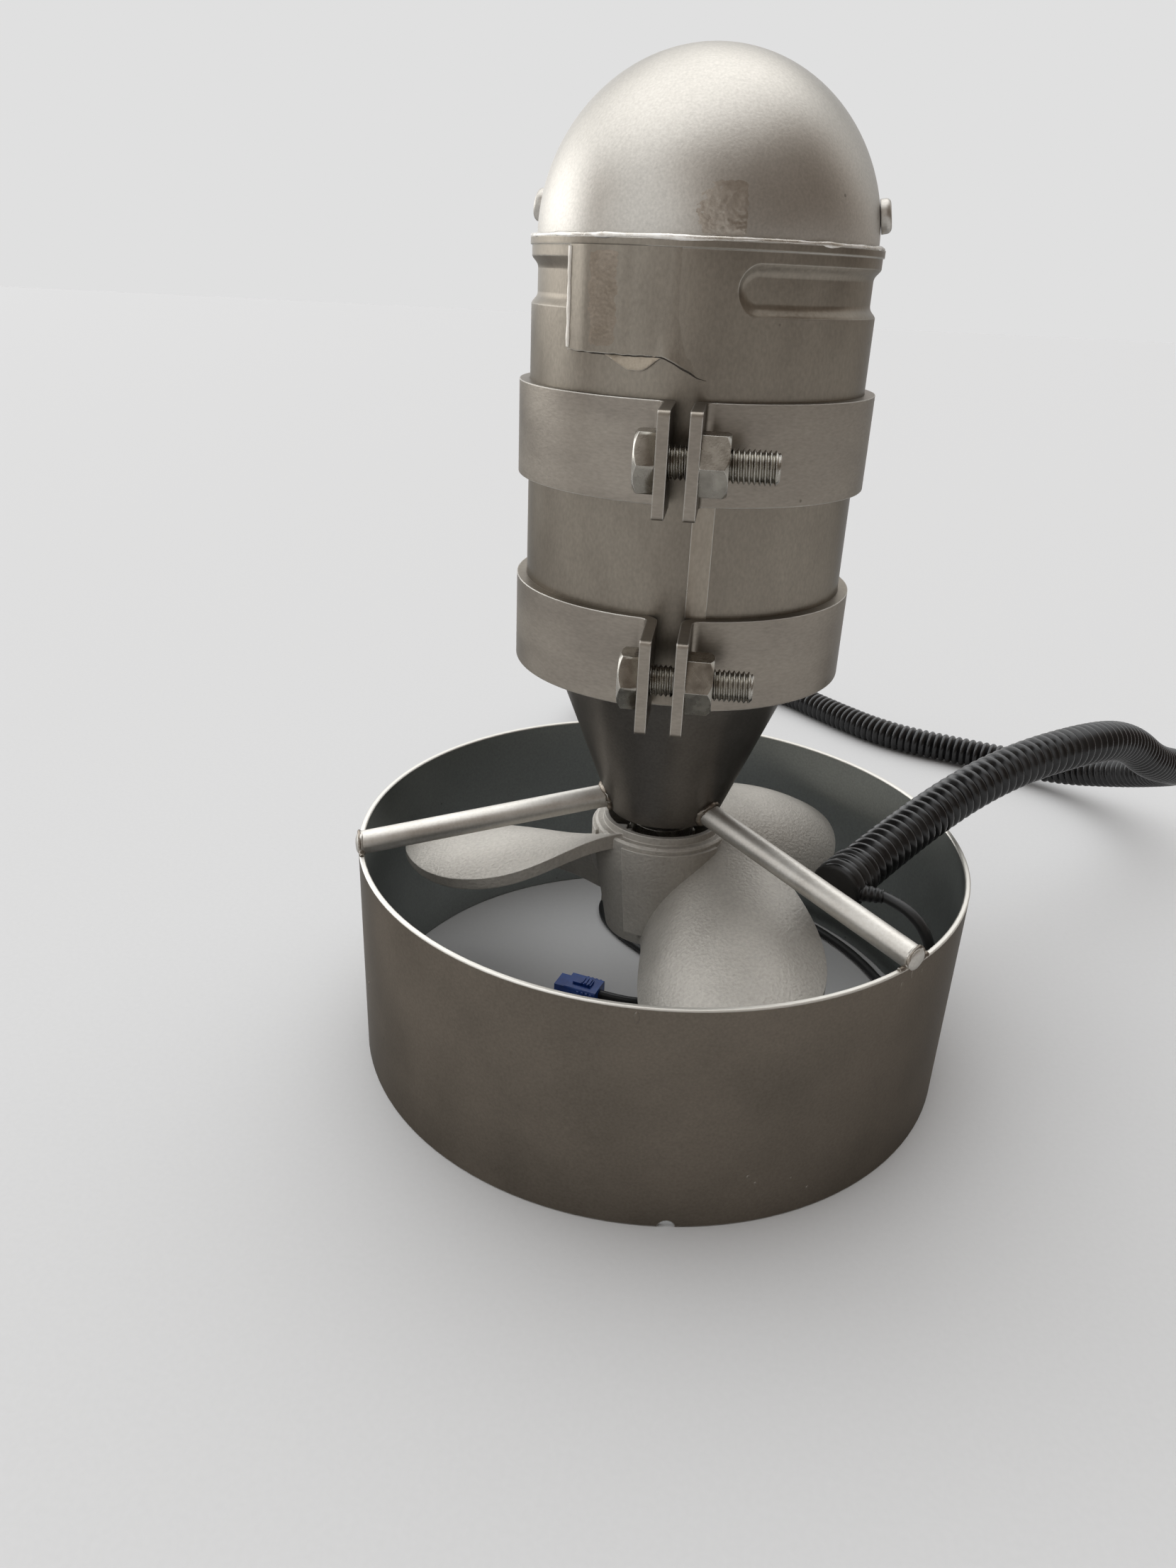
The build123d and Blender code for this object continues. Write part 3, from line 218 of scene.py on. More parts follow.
def moulded_polymer(name, deep, worn, roughness, grain, grain_depth):
    """Polymer as it leaves the mould: even in colour, with handling dust that greys it in
    patches and a fine grain that breaks up the shine."""
    dust_size = 0.018
    polymer = new_material(name)
    place = add_node(polymer, "ShaderNodeTexCoord").outputs["Object"]
    dust = add_node(
        polymer, "ShaderNodeTexNoise", {"Scale": 1 / dust_size, "Detail": 6.0}, {"Vector": place}
    ).outputs["Fac"]
    skin = add_node(
        polymer, "ShaderNodeTexNoise", {"Scale": 1 / grain, "Detail": 2.0}, {"Vector": place}
    ).outputs["Fac"]
    tone = add_node(polymer, "ShaderNodeValToRGB", {"stops": ((0.45, deep), (0.75, worn))}, {"Fac": dust})
    gloss = add_node(
        polymer, "ShaderNodeMapRange", {"To Min": roughness - 0.07, "To Max": roughness + 0.1},
        {"Value": dust},
    )
    bump = add_node(polymer, "ShaderNodeBump", {"Distance": grain_depth}, {"Height": skin})
    shader = add_node(
        polymer, "ShaderNodeBsdfPrincipled",
        links={"Base Color": tone.outputs[0], "Roughness": gloss.outputs[0], "Normal": bump.outputs[0]},
    )
    add_node(polymer, "ShaderNodeOutputMaterial", links={"Surface": shader.outputs[0]})
    return polymer


conduit_plastic = moulded_polymer("blown_black_nylon", "#09090a", "#141415", 0.25, 0.0012, 0.00002)
conduit_line = route_line("conduit_line", conduit_route, conduit_rib_pitch / conduit_steps_per_rib)
rib_phase = np.arange(len(conduit_line)) * 2 * math.pi / conduit_steps_per_rib
rib_wave = 0.5 - 0.5 * np.cos(rib_phase)
conduit_radii = conduit_diameter / 2 - conduit_rib_depth * (1 - np.sqrt(rib_wave))
conduit = add_piece(
    "conduit_tube", *swept_tube(conduit_line, conduit_radii, 32), conduit_plastic, slot="conduit_plastic"
)
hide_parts("conduit")

# Boot on the conduit's free end: soft black rubber, moulded with the conduit's ribs so that
# it grips them, closed at its end, with a grooved nozzle to one side for the thin lead.
boot_socket = 0.012
boot_cap = 0.0015
boot_wall = 0.0008
boot_rib_depth = 0.0015
boot_end_round = 0.002
boot_radius = conduit_diameter / 2 + boot_wall
boot_rubber = moulded_polymer("moulded_black_rubber", "#0b0b0b", "#1d1c1b", 0.42, 0.0008, 0.00004)
conduit_end = np.array(conduit_route[-1])
conduit_heading = conduit_end - np.array(conduit_route[-2])
conduit_heading /= np.linalg.norm(conduit_heading)
boot_reach = np.linspace(-boot_socket, boot_cap, 73)
boot_line = conduit_end + boot_reach[:, None] * conduit_heading
boot_wave = 0.5 + 0.5 * np.cos((boot_reach + boot_socket) / conduit_rib_pitch * 2 * math.pi)
boot_radii = boot_radius - boot_rib_depth * (1 - np.sqrt(boot_wave))
past_shoulder = np.maximum(0, boot_reach - boot_cap + boot_end_round)
rounded_end = np.sqrt(np.maximum(1e-9, boot_end_round**2 - past_shoulder**2))
boot_radii = np.minimum(boot_radii, boot_radius - boot_end_round + rounded_end)
boot_cuff = add_piece("boot_cuff", *swept_tube(boot_line, boot_radii, 40), boot_rubber, slot="black_rubber")
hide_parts("conduit_boot")

nozzle_radius = 0.0035
nozzle_taper = 0.0008
nozzle_grooves = 4
nozzle_groove_depth = 0.0003
nozzle_start = conduit_end + (0.0075, -0.0017, 0.0)
nozzle_mouth = np.array((0.0832, -0.0412, 0.0929))
nozzle_share = np.linspace(0.0, 1.0, 25)
nozzle_line = nozzle_start + nozzle_share[:, None] * (nozzle_mouth - nozzle_start)
in_groove = np.cos(nozzle_share * nozzle_grooves * 2 * math.pi) < 0
nozzle_radii = nozzle_radius - nozzle_taper * nozzle_share - nozzle_groove_depth * in_groove
add_piece("boot_nozzle", *swept_tube(nozzle_line, nozzle_radii, 24), boot_rubber, slot="black_rubber")

# Sensor lead: thin round cable with a soft black PVC jacket, run out of the conduit's boot,
# down the ring's wall, round the back on the floor and in to its connector.
sensor_lead_diameter = 0.004
sensor_lead_route = [
    (0.0832, -0.0412, 0.0929),
    (0.0898, -0.0456, 0.0925),
    (0.0970, -0.0504, 0.0876),
    (0.1011, -0.0532, 0.0790),
    (0.1009, -0.0530, 0.0595),
    (0.1030, -0.0489, 0.0425),
    (0.1064, -0.0410, 0.0274),
    (0.1102, -0.0293, 0.0150),
    (0.1131, -0.0145, 0.0064),
    (0.1140, 0.0022, 0.0021),
    (0.1091, 0.0292, 0.0021),
    (0.0902, 0.0680, 0.0021),
    (0.0565, 0.0979, 0.0021),
    (0.0196, 0.1113, 0.0021),
    (-0.0030, 0.1105, 0.0021),
    (-0.0200, 0.1040, 0.0021),
    (-0.0300, 0.0900, 0.0021),
    (-0.0300, 0.0730, 0.0021),
    (-0.0200, 0.0570, 0.0021),
    (-0.0060, 0.0440, 0.0021),
    (0.0060, 0.0310, 0.0021),
    (0.0100, 0.0170, 0.0021),
    (0.0040, 0.0040, 0.0024),
    (-0.0090, 0.0005, 0.0035),
    (-0.0220, 0.0040, 0.0035),
]
sensor_lead_curve = route_curve("sensor_lead_cable", sensor_lead_route)
sensor_lead_curve.bevel_depth = sensor_lead_diameter / 2
sensor_lead_curve.bevel_resolution = 4
sensor_lead_curve.use_fill_caps = True
lead_jacket = moulded_polymer("extruded_black_pvc", "#0e0e0e", "#191919", 0.45, 0.0009, 0.00002)
sensor_lead_curve.materials.append(lead_jacket)
sensor_lead = bpy.data.objects.new("sensor_lead_cable", sensor_lead_curve)
bpy.context.scene.collection.objects.link(sensor_lead)
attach(sensor_lead, "housing")
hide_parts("sensor_lead")

# Connector on the lead's end: a moulded blue nylon housing with a latch on top and grip ribs
# at its sides.  The plastic is glossy, even in colour and slightly scuffed.
scuff_size = 0.006
blue_nylon = new_material("moulded_blue_nylon")
connector_place = add_node(blue_nylon, "ShaderNodeTexCoord").outputs["Object"]
scuff = add_node(
    blue_nylon, "ShaderNodeTexNoise", {"Scale": 1 / scuff_size, "Detail": 6.0}, {"Vector": connector_place}
).outputs["Fac"]
blue = add_node(
    blue_nylon, "ShaderNodeValToRGB", {"stops": ((0.35, "#1d4492"), (0.7, "#2b58ad"))}, {"Fac": scuff}
)
blue_gloss = add_node(blue_nylon, "ShaderNodeMapRange", {"To Min": 0.25, "To Max": 0.5}, {"Value": scuff})
blue_skin = add_node(blue_nylon, "ShaderNodeBump", {"Distance": 0.00004}, {"Height": scuff})
blue_shader = add_node(
    blue_nylon, "ShaderNodeBsdfPrincipled",
    links={"Base Color": blue.outputs[0], "Roughness": blue_gloss.outputs[0], "Normal": blue_skin.outputs[0]},
)
add_node(blue_nylon, "ShaderNodeOutputMaterial", links={"Surface": blue_shader.outputs[0]})


def finish(material, *names):
    """Gives carried-over nodes their finish."""
    for name in names:
        nodes[name].data.materials.clear()
        nodes[name].data.materials.append(material)


finish(blue_nylon, "lead_connector")


def box_block(corner, across, along, up, sizes):
    """Vertices and faces of a small block from a corner and three directions."""
    steps = [np.array(d) * s for d, s in zip((across, along, up), sizes)]
    vertices = [
        np.array(corner) + i * steps[0] + j * steps[1] + k * steps[2]
        for k in (0, 1)
        for j in (0, 1)
        for i in (0, 1)
    ]
    return vertices, [(0, 2, 3, 1), (4, 5, 7, 6), (0, 1, 5, 4), (2, 6, 7, 3), (0, 4, 6, 2), (1, 3, 7, 5)]


connector_half_width = 0.0060
connector_height = 0.0070
latch_width = 0.0044
latch_teeth = 3
latch_tooth_pitch = 0.0016
side_ribs = 4
side_rib_pitch = 0.0020
side_rib_stand = 0.0006
side_rib_drop = 0.0006
lead_end = np.array(sensor_lead_route[-1])
connector_along = lead_end - np.array(sensor_lead_route[-2])
connector_along[2] = 0.0
connector_along /= np.linalg.norm(connector_along)
connector_across = np.array((-connector_along[1], connector_along[0], 0.0))
connector_top = np.array((lead_end[0], lead_end[1], connector_height))
side_rib = (side_rib_stand, 0.0009, -0.0058)
latch_blocks = [(-latch_width / 2, 0.0035, 0.0, (latch_width, 0.0085, 0.0011))]
for tooth in range(latch_teeth):
    tooth_at = 0.0042 + latch_tooth_pitch * tooth
    latch_blocks.append((-latch_width / 2, tooth_at, 0.0, (latch_width, 0.0007, 0.0017)))
for side_at in (-connector_half_width - side_rib_stand, connector_half_width):
    for rib in range(side_ribs):
        latch_blocks.append((side_at, 0.0015 + side_rib_pitch * rib, side_rib_drop, side_rib))
connector_details, detail_faces = [], []
for across_at, along_at, drop, sizes in latch_blocks:
    corner = connector_top + across_at * connector_across + along_at * connector_along - (0.0, 0.0, drop)
    block, block_faces = box_block(corner, connector_across, connector_along, (0, 0, 1), sizes)
    if sizes[2] < 0:
        block_faces = turned_over(block_faces)
    detail_faces.extend(tuple(i + len(connector_details) for i in face) for face in block_faces)
    connector_details.extend(block)
add_piece("connector_latch", connector_details, detail_faces, blue_nylon, slot="blue_plastic", smooth=False)

# Duct ring: a strip of mild steel rolled into a hoop and welded, then sprayed with aluminium
# paint in one thick coat.  Its colour is made darker than the can's, a painted shade; its bore
# is given a cooler, lighter painted reflection tone, and its rim turns pale above a set height,
# a painted highlight.
def worn_and_highlit_edges(material, radius, samples, flat, sharp):
    """A normal that rounds the edges off, and a share that is 1 where an edge is lightened,
    in part as worn paint and in part as a painted highlight.
    """
    rounded = add_node(material, "ShaderNodeBevel", {"samples": samples, "Radius": radius}).outputs[0]
    face = add_node(material, "ShaderNodeNewGeometry").outputs["Normal"]
    turn = add_node(material, "ShaderNodeVectorMath", {"operation": "DOT_PRODUCT"}, {0: rounded, 1: face})
    worn_and_highlit = add_node(
        material, "ShaderNodeMapRange", {"From Min": flat, "From Max": sharp},
        {"Value": turn.outputs["Value"]},
    )
    return rounded, worn_and_highlit.outputs[0]


def satin_silver(
    name, bright, deep, roughness, blotch=0.030, grain=0.0010, grain_depth=0.00003, ripple=0.00010,
    streaks=(1, 1, 1), painted_highlight_above=1.0, flakes=0.92, bore_reflection_tone=None,
):
    """Aluminium-flake paint from a spray gun: the flakes give wide, soft highlights, the tone
    clouds where the coat is thicker, an orange-peel grain breaks the shine and edges are
    lightened, in part as worn paint and in part as a painted highlight.  Above a set height the
    paint turns pale, a painted highlight on the top.  The grain is drawn about three times
    coarser than the flakes, so that it shows.  A hoop's bore can be given its own colour, a
    painted reflection tone for the light inside it."""
    swell_size = 0.024
    speck_spacing = 0.019
    paint = new_material(name)
    place = add_node(paint, "ShaderNodeTexCoord").outputs["Object"]
    drawn_out = add_node(paint, "ShaderNodeMapping", {"Scale": streaks}, {"Vector": place}).outputs[0]
    cloud = add_node(
        paint, "ShaderNodeTexNoise", {"Scale": 1 / blotch, "Detail": 5.0}, {"Vector": drawn_out}
    ).outputs["Fac"]
    peel = add_node(
        paint, "ShaderNodeTexNoise", {"Scale": 1 / grain, "Detail": 2.0}, {"Vector": drawn_out}
    ).outputs["Fac"]
    swell = add_node(
        paint, "ShaderNodeTexNoise", {"Scale": 1 / swell_size, "Detail": 1.0}, {"Vector": place}
    ).outputs["Fac"]
    coat = add_node(
        paint, "ShaderNodeValToRGB", {"stops": ((0.34, deep), (0.66, bright))}, {"Fac": cloud}
    ).outputs[0]
    # Painted reflection: inside the given bore the coat takes another colour, a tone that stands in for the
    # light inside the hoop.
    if bore_reflection_tone:
        bore, bore_reflection_colour = bore_reflection_tone
        flat = add_node(paint, "ShaderNodeVectorMath", {"operation": "MULTIPLY", 1: (1, 1, 0)}, {0: place})
        reach = add_node(paint, "ShaderNodeVectorMath", {"operation": "LENGTH"}, {0: flat.outputs[0]})
        within = add_node(
            paint, "ShaderNodeMapRange", {"From Min": bore + 0.0012, "From Max": bore + 0.0004},
            {"Value": reach.outputs["Value"]},
        )
        coat = add_node(
            paint, "ShaderNodeMix", {"data_type": "RGBA", 7: linear(bore_reflection_colour)},
            {0: within.outputs[0], 6: coat},
        ).outputs[2]
    flaked = add_node(
        paint, "ShaderNodeMix", {"data_type": "RGBA", "blend_type": "OVERLAY", 0: 0.2}, {6: coat, 7: peel}
    )
    grit = add_node(paint, "ShaderNodeTexVoronoi", {"Scale": 1 / speck_spacing}, {"Vector": place})
    speck = add_node(
        paint, "ShaderNodeMapRange", {"From Min": 0.018, "From Max": 0.032, "To Min": 0.45, "To Max": 0.0},
        {"Value": grit.outputs["Distance"]},
    )
    dirty = add_node(
        paint, "ShaderNodeMix", {"data_type": "RGBA", 7: linear("#3a332b")},
        {0: speck.outputs[0], 6: flaked.outputs[2]},
    )
    rounded, worn_and_highlit = worn_and_highlit_edges(paint, radius=0.0006, samples=4, flat=0.985, sharp=0.85)
    height = add_node(paint, "ShaderNodeSeparateXYZ", links={"Vector": place}).outputs["Z"]
    # Painted highlight: above a set height the paint turns pale, standing in for the light on a top face.
    top_highlight = add_node(
        paint, "ShaderNodeMapRange", {"From Min": painted_highlight_above, "From Max": painted_highlight_above + 0.0004},
        {"Value": height},
    )
    edges = add_node(paint, "ShaderNodeMath", {"operation": "MAXIMUM"}, {0: worn_and_highlit, 1: top_highlight.outputs[0]})
    # Edges and the top above a set height turn pale here: on edges worn paint together with a painted
    # highlight, on the top a painted highlight.
    colour = add_node(
        paint, "ShaderNodeMix", {"data_type": "RGBA", 7: linear("#d3d0c9")},
        {0: edges.outputs[0], 6: dirty.outputs[2]},
    )
    sheen = add_node(
        paint, "ShaderNodeMapRange",
        {"From Min": 0.3, "From Max": 0.7, "To Min": roughness - 0.05, "To Max": roughness + 0.07},
        {"Value": cloud},
    )
    hollows = add_node(paint, "ShaderNodeBump", {"Distance": ripple}, {"Height": swell, "Normal": rounded})
    texture = add_node(
        paint, "ShaderNodeBump", {"Distance": grain_depth}, {"Height": peel, "Normal": hollows.outputs[0]}
    )
    shader = add_node(
        paint, "ShaderNodeBsdfPrincipled", {"Metallic": flakes, "Specular Tint": linear("#b2b2b2")},
        {"Base Color": colour.outputs[2], "Roughness": sheen.outputs[0], "Normal": texture.outputs[0]},
    )
    add_node(paint, "ShaderNodeOutputMaterial", links={"Surface": shader.outputs[0]})
    return paint


ring_radius = 0.120
ring_height = 0.090
ring_bore = 0.118
shaded_ring_paint = satin_silver(
    "ring_paint_with_painted_shade", "#746c62", "#665f56", 0.42, blotch=0.045, ripple=0.00012, painted_highlight_above=0.0892,
    bore_reflection_tone=(ring_bore, "#949896"),
)
finish(shaded_ring_paint, "duct_ring")


def polar(radius, degrees, height):
    """A point of the frame from its distance to the axis, its angle and its height."""
    angle = math.radians(degrees)
    return np.array((radius * math.cos(angle), radius * math.sin(angle), height))


# Paint runs and spatter on the ring: drops of the same aluminium paint that dried as they ran.
# Each is given by its angle in degrees and its height, half width and length in millimetres.
drop_rows, drop_steps = 7, 14
drop_seat = 0.0001
drop_stand = 0.00045
drop_head = 0.6
ring_drops, drop_faces = [], []
for degrees, height, width, length in (
    (-89.1, 86.6, 0.9, 3.2), (-41.5, 87.0, 0.9, 2.4), (-44.0, 84.5, 0.6, 1.4), (-38.6, 85.5, 0.5, 1.2),
    (-69.3, 20.9, 0.6, 1.0), (-67.9, 17.5, 0.5, 0.8), (-57.9, 9.6, 0.6, 1.0), (-61.5, 16.5, 0.4, 0.6),
    (-152.0, 40.0, 0.6, 1.2), (12.0, 33.0, 0.7, 1.6), (96.0, 58.0, 0.6, 1.1), (141.0, 22.0, 0.5, 0.9),
):
    drop_faces.extend(turned_over(grid_faces(drop_rows, drop_steps, closed=True), len(ring_drops)))
    for row in range(drop_rows):
        slope = row / (drop_rows - 1) * math.pi / 2
        for step in range(drop_steps):
            turn = 2 * math.pi * step / drop_steps
            fall = length * math.sin(turn) * (drop_head if math.sin(turn) > 0 else 1.0)
            ring_drops.append(polar(
                ring_radius - drop_seat + drop_stand * width * math.cos(slope),
                degrees + math.degrees(width * 0.001 * math.cos(turn) * math.sin(slope) / ring_radius),
                (height + fall * math.sin(slope)) * 0.001,
            ))
add_piece("ring_paint_runs", ring_drops, drop_faces, shaded_ring_paint, slot="silver_paint")

# Struts: 9 mm round bar, cut to length, welded by hand to the cone and across the ring's rim
# and painted with them.  The welds are lumpy, and the bars' ends are filled and rounded.  The
# seed gives their lumps the same places in each run.
strut_radius = 0.0045
strut_slope = 0.158
strut_angles = (79.0, 199.0, 319.0)
strut_root_height = 0.107
cone_end_radius = 0.0216
cone_end_height = 0.1015
cone_wall = 0.002
cone_slope = math.tan(math.radians(21.3))
# The struts' paint is made lighter than the can's, a painted highlight for the light on their tops.
lit_strut_paint = satin_silver("round_bar_paint_with_painted_highlight", "#d2cfc9", "#bfbbb4", 0.44, blotch=0.02, ripple=0.00006)
weld_paint = satin_silver(
    "weld_bead_paint", "#a89f94", "#5f574e", 0.38, blotch=0.004, grain=0.0007, grain_depth=0.00008
)
finish(lit_strut_paint, "strut_rear", "strut_left", "strut_right")
root_bead, root_lumps = 0.0013, 420.0
rim_bead, rim_lumps = 0.0006, 500.0
toe_bead, toe_length = 0.0009, 0.0035
rim_middle = ring_bore + 0.001
lump_seed = 1
end_fill_rows, end_fill_columns = 16, 36
end_fill_inset = 0.0012
end_fill_deep, end_fill_wide, end_fill_high = 0.0023, 0.0048, 0.0047
weld_vertices, weld_faces = [], []
end_fills, end_fill_faces = [], []
noise.seed_set(lump_seed)


def add_weld(line, radius, lumps):
    """Adds one hand-laid bead to the welds: a tube along the joint whose size and place wander."""
    swollen = [radius * (1 + 0.45 * noise.noise(Vector(point) * lumps)) for point in line]
    vertices, faces = swept_tube(np.array(line), swollen, 10)
    weld_faces.extend(tuple(i + len(weld_vertices) for i in face) for face in faces)
    for vertex in vertices:
        wander = np.array(noise.noise_vector(Vector(vertex) * lumps * 2.5))
        weld_vertices.append(np.array(vertex) + radius * 0.35 * wander)


for strut_angle in strut_angles:
    cone_reach = cone_end_radius + (strut_root_height - cone_end_height) * cone_slope
    start = polar(cone_reach - cone_wall, strut_angle, strut_root_height)
    end = polar(ring_radius + 2 * strut_radius, strut_angle, ring_height)
    axis = (end - start) / np.linalg.norm(end - start)
    outward = polar(1.0, strut_angle, 0.0)
    side = polar(1.0, strut_angle + 90.0, 0.0)
    upright = np.cross(axis, side)
    upright *= math.copysign(1.0, upright[2])
    steps = np.linspace(-0.012, 0.125, 1600)
    root_line, rim_line = [], []
    for turn in np.linspace(0.0, 2 * math.pi, 49):
        round_bar = strut_radius * (math.cos(turn) * side + math.sin(turn) * upright)
        generator = start + round_bar + steps[:, None] * axis
        reach = np.hypot(generator[:, 0], generator[:, 1])
        outside_cone = reach > cone_end_radius + (generator[:, 2] - cone_end_height) * cone_slope
        root_line.append(generator[np.argmax(outside_cone)])
        at_bore = generator[np.argmax(reach > ring_bore)]
        at_outer_edge = generator[np.argmax(reach > ring_radius - 0.0006)]
        rim_line.append(at_bore if at_bore[2] < ring_height - 0.0004 else at_outer_edge)
    add_weld(root_line, root_bead, root_lumps)
    add_weld(rim_line, rim_bead, rim_lumps)
    for way in (-1, 1):
        crossing = polar(rim_middle, strut_angle, ring_height) + way * (strut_radius + 0.0002) * side
        toe = crossing + way * toe_length * side
        toe[:2] *= rim_middle / math.hypot(toe[0], toe[1])
        add_weld([crossing + t * (toe - crossing) for t in np.linspace(-0.3, 1.0, 7)], toe_bead, rim_lumps)
    end_height = ring_height + strut_slope * (2 * strut_radius + end_fill_inset)
    end_centre = polar(ring_radius - end_fill_inset, strut_angle, end_height)
    fill_faces = grid_faces(end_fill_rows, end_fill_columns, closed=True)
    end_fill_faces.extend(tuple(len(end_fills) + i for i in face) for face in fill_faces)
    for row in range(end_fill_rows):
        tilt = math.pi * row / (end_fill_rows - 1) - math.pi / 2
        for column in range(end_fill_columns):
            turn = 2 * math.pi * column / end_fill_columns
            spot = end_centre + end_fill_deep * math.cos(tilt) * math.cos(turn) * outward
            spot = spot + end_fill_wide * math.cos(tilt) * math.sin(turn) * side
            spot = spot + (0.0, 0.0, end_fill_high * math.sin(tilt))
            end_fills.append(spot + 0.00025 * np.array(noise.noise_vector(Vector(spot) * 300)))
add_piece("strut_end_fills", end_fills, end_fill_faces, lit_strut_paint, slot="silver_paint")
add_piece("strut_welds", weld_vertices, weld_faces, weld_paint, slot="silver_paint")

# Tail cone: steel spun to shape over a former, welded into the can, and sprayed.  Its paint is
# made darker than the rest, a painted shade for its downward faces.
shaded_cone_paint = satin_silver("cone_paint_with_painted_shade", "#7d7974", "#6c6863", 0.36, blotch=0.035, ripple=0.00008)
finish(shaded_cone_paint, "tail_cone")

# Motor can: drawn steel tube with a pressed groove, its lap seam covered by a strip between
# the bands.  The paint shows up-and-down wipe marks, small pits and ripples.
# The warm brown tint of this and the other silver paints is a painted reflection of a warm room around them.
can_paint = satin_silver(
    "drawn_steel_can_paint", "#8c857a", "#7c756b", 0.33, blotch=0.030, grain=0.0011, ripple=0.00016,
    streaks=(1.2, 1.2, 0.7),
)
finish(can_paint, "pod_can")
seam_paint = satin_silver(
    "brushed_over_seam_paint", "#9b9387", "#887f73", 0.30, blotch=0.012, ripple=0.00008,
    streaks=(1.2, 1.2, 0.5),
)
finish(seam_paint, "can_seam_strip")

# Doubler sheet: a 1 mm steel patch wrapped over the end of the groove, tacked at the top and
# filled.  Its left edge stands proud, its right side is dressed down to nothing, and its lower
# edge is torn, with a flap hanging and a crack on to the right.
pod_radius = 0.056
doubler_top = 0.3003
doubler_edge = 0.2715
doubler_left = -131.6
doubler_right = -83.0
edge_waver = 0.00025
sheet_stand = 0.00072
ridge_stand = 0.00090
toe_stand = 0.0002
sheet_sink = 0.00012
foot_sink = 0.0002
crack_start = -98.5
crack_drop = 0.0058
crack_lift = 0.00045
crack_reach = 0.0045


def smooth(low, high, value):
    """0 below low, 1 above high and an even S between them."""
    share = min(1.0, max(0.0, (value - low) / (high - low)))
    return share * share * (3 - 2 * share)


def doubler_lower(degrees):
    """Height of the sheet's lower edge: straight, then a crack that drops to the right."""
    drop = smooth(crack_start, doubler_right, degrees) ** 0.8
    waver = noise.noise(Vector((degrees * 0.35, 0.0, 3.0)))
    return doubler_edge + edge_waver * waver - crack_drop * drop


def doubler_height(degrees, height):
    """How far the sheet stands off the can: dressed down to the right, with a ridge near its
    left side, and lifted a little along the crack."""
    dressed = 1 - smooth(-110.0, -96.5, degrees)
    ridge = smooth(doubler_left, -123.0, degrees) * (1 - smooth(-113.6, -107.4, degrees))
    toe = 1 - smooth(-97.0, -91.0, degrees)
    sheet = sheet_stand * dressed + ridge_stand * ridge + toe_stand * toe - sheet_sink
    crack = crack_lift * (1 - smooth(-97.0, -83.4, degrees)) * smooth(-101.0, -97.5, degrees)
    return sheet + crack * math.exp(-max(0.0, height - doubler_lower(degrees)) / crack_reach)


doubler_columns, doubler_rows = 220, 110
doubler_points = []
for row in range(doubler_rows + 1):
    for column in range(doubler_columns):
        degrees = doubler_left + (doubler_right - doubler_left) * column / (doubler_columns - 1)
        share = max(0, row - 1) / (doubler_rows - 1)
        height = doubler_lower(degrees) + share**1.15 * (doubler_top - doubler_lower(degrees))
        stand = -foot_sink if row == 0 else doubler_height(degrees, height)
        doubler_points.append(polar(pod_radius + stand, degrees, height))
doubler_faces = grid_faces(doubler_rows + 1, doubler_columns)
left_foot = len(doubler_points)
for row in range(doubler_rows + 1):
    side_height = doubler_points[row * doubler_columns][2]
    doubler_points.append(polar(pod_radius - foot_sink, doubler_left, side_height))
for row in range(doubler_rows):
    at = row * doubler_columns
    doubler_faces.append((at, at + doubler_columns, left_foot + row + 1, left_foot + row))
doubler_piece = add_piece("doubler_patch", doubler_points, doubler_faces, can_paint, slot="silver_paint")
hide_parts("doubler_sheet")

# Torn flap: filler that hangs over the doubler's lower edge, curled away from the can and
# longest near its left end.
flap_paint = satin_silver(
    "torn_filler_paint", "#a69c8d", "#8a8072", 0.42, blotch=0.006, grain=0.0007, grain_depth=0.00005
)
flap_columns, flap_rows = 40, 8
flap_left, flap_sweep = -118.0, 20.6
flap_reach = 0.0042
flap_tuck = 0.0004
flap_stand = 0.00018
flap_curl = 0.00075
hem_lift = 0.0003
flap_turns = [flap_left + flap_sweep * column / (flap_columns - 1) for column in range(flap_columns)]
flap_points = []
for row in range(flap_rows):
    share = row / (flap_rows - 1)
    for degrees in flap_turns:
        tip = flap_reach * min(1.0, (degrees - flap_left) / 9.5) * (1 - smooth(-105.0, -97.4, degrees)) ** 0.8
        curl = flap_curl * share * min(1.0, tip / 0.0025)
        stand = flap_stand + curl + 0.00006 * noise.noise(Vector((degrees, share * 4, 7.0)))
        if row == flap_rows - 1:
            stand -= foot_sink
        height = doubler_edge + flap_tuck - share * (tip + flap_tuck)
        flap_points.append(polar(pod_radius + stand, degrees, height))
flap_hem = flap_points[-flap_columns:]
for degrees, hem_point in zip(flap_turns, flap_hem):
    flap_points.append(polar(pod_radius - foot_sink, degrees, hem_point[2] + hem_lift))
flap_faces = turned_over(grid_faces(flap_rows + 1, flap_columns))
add_piece("doubler_torn_flap", flap_points, flap_faces, flap_paint, slot="silver_paint")

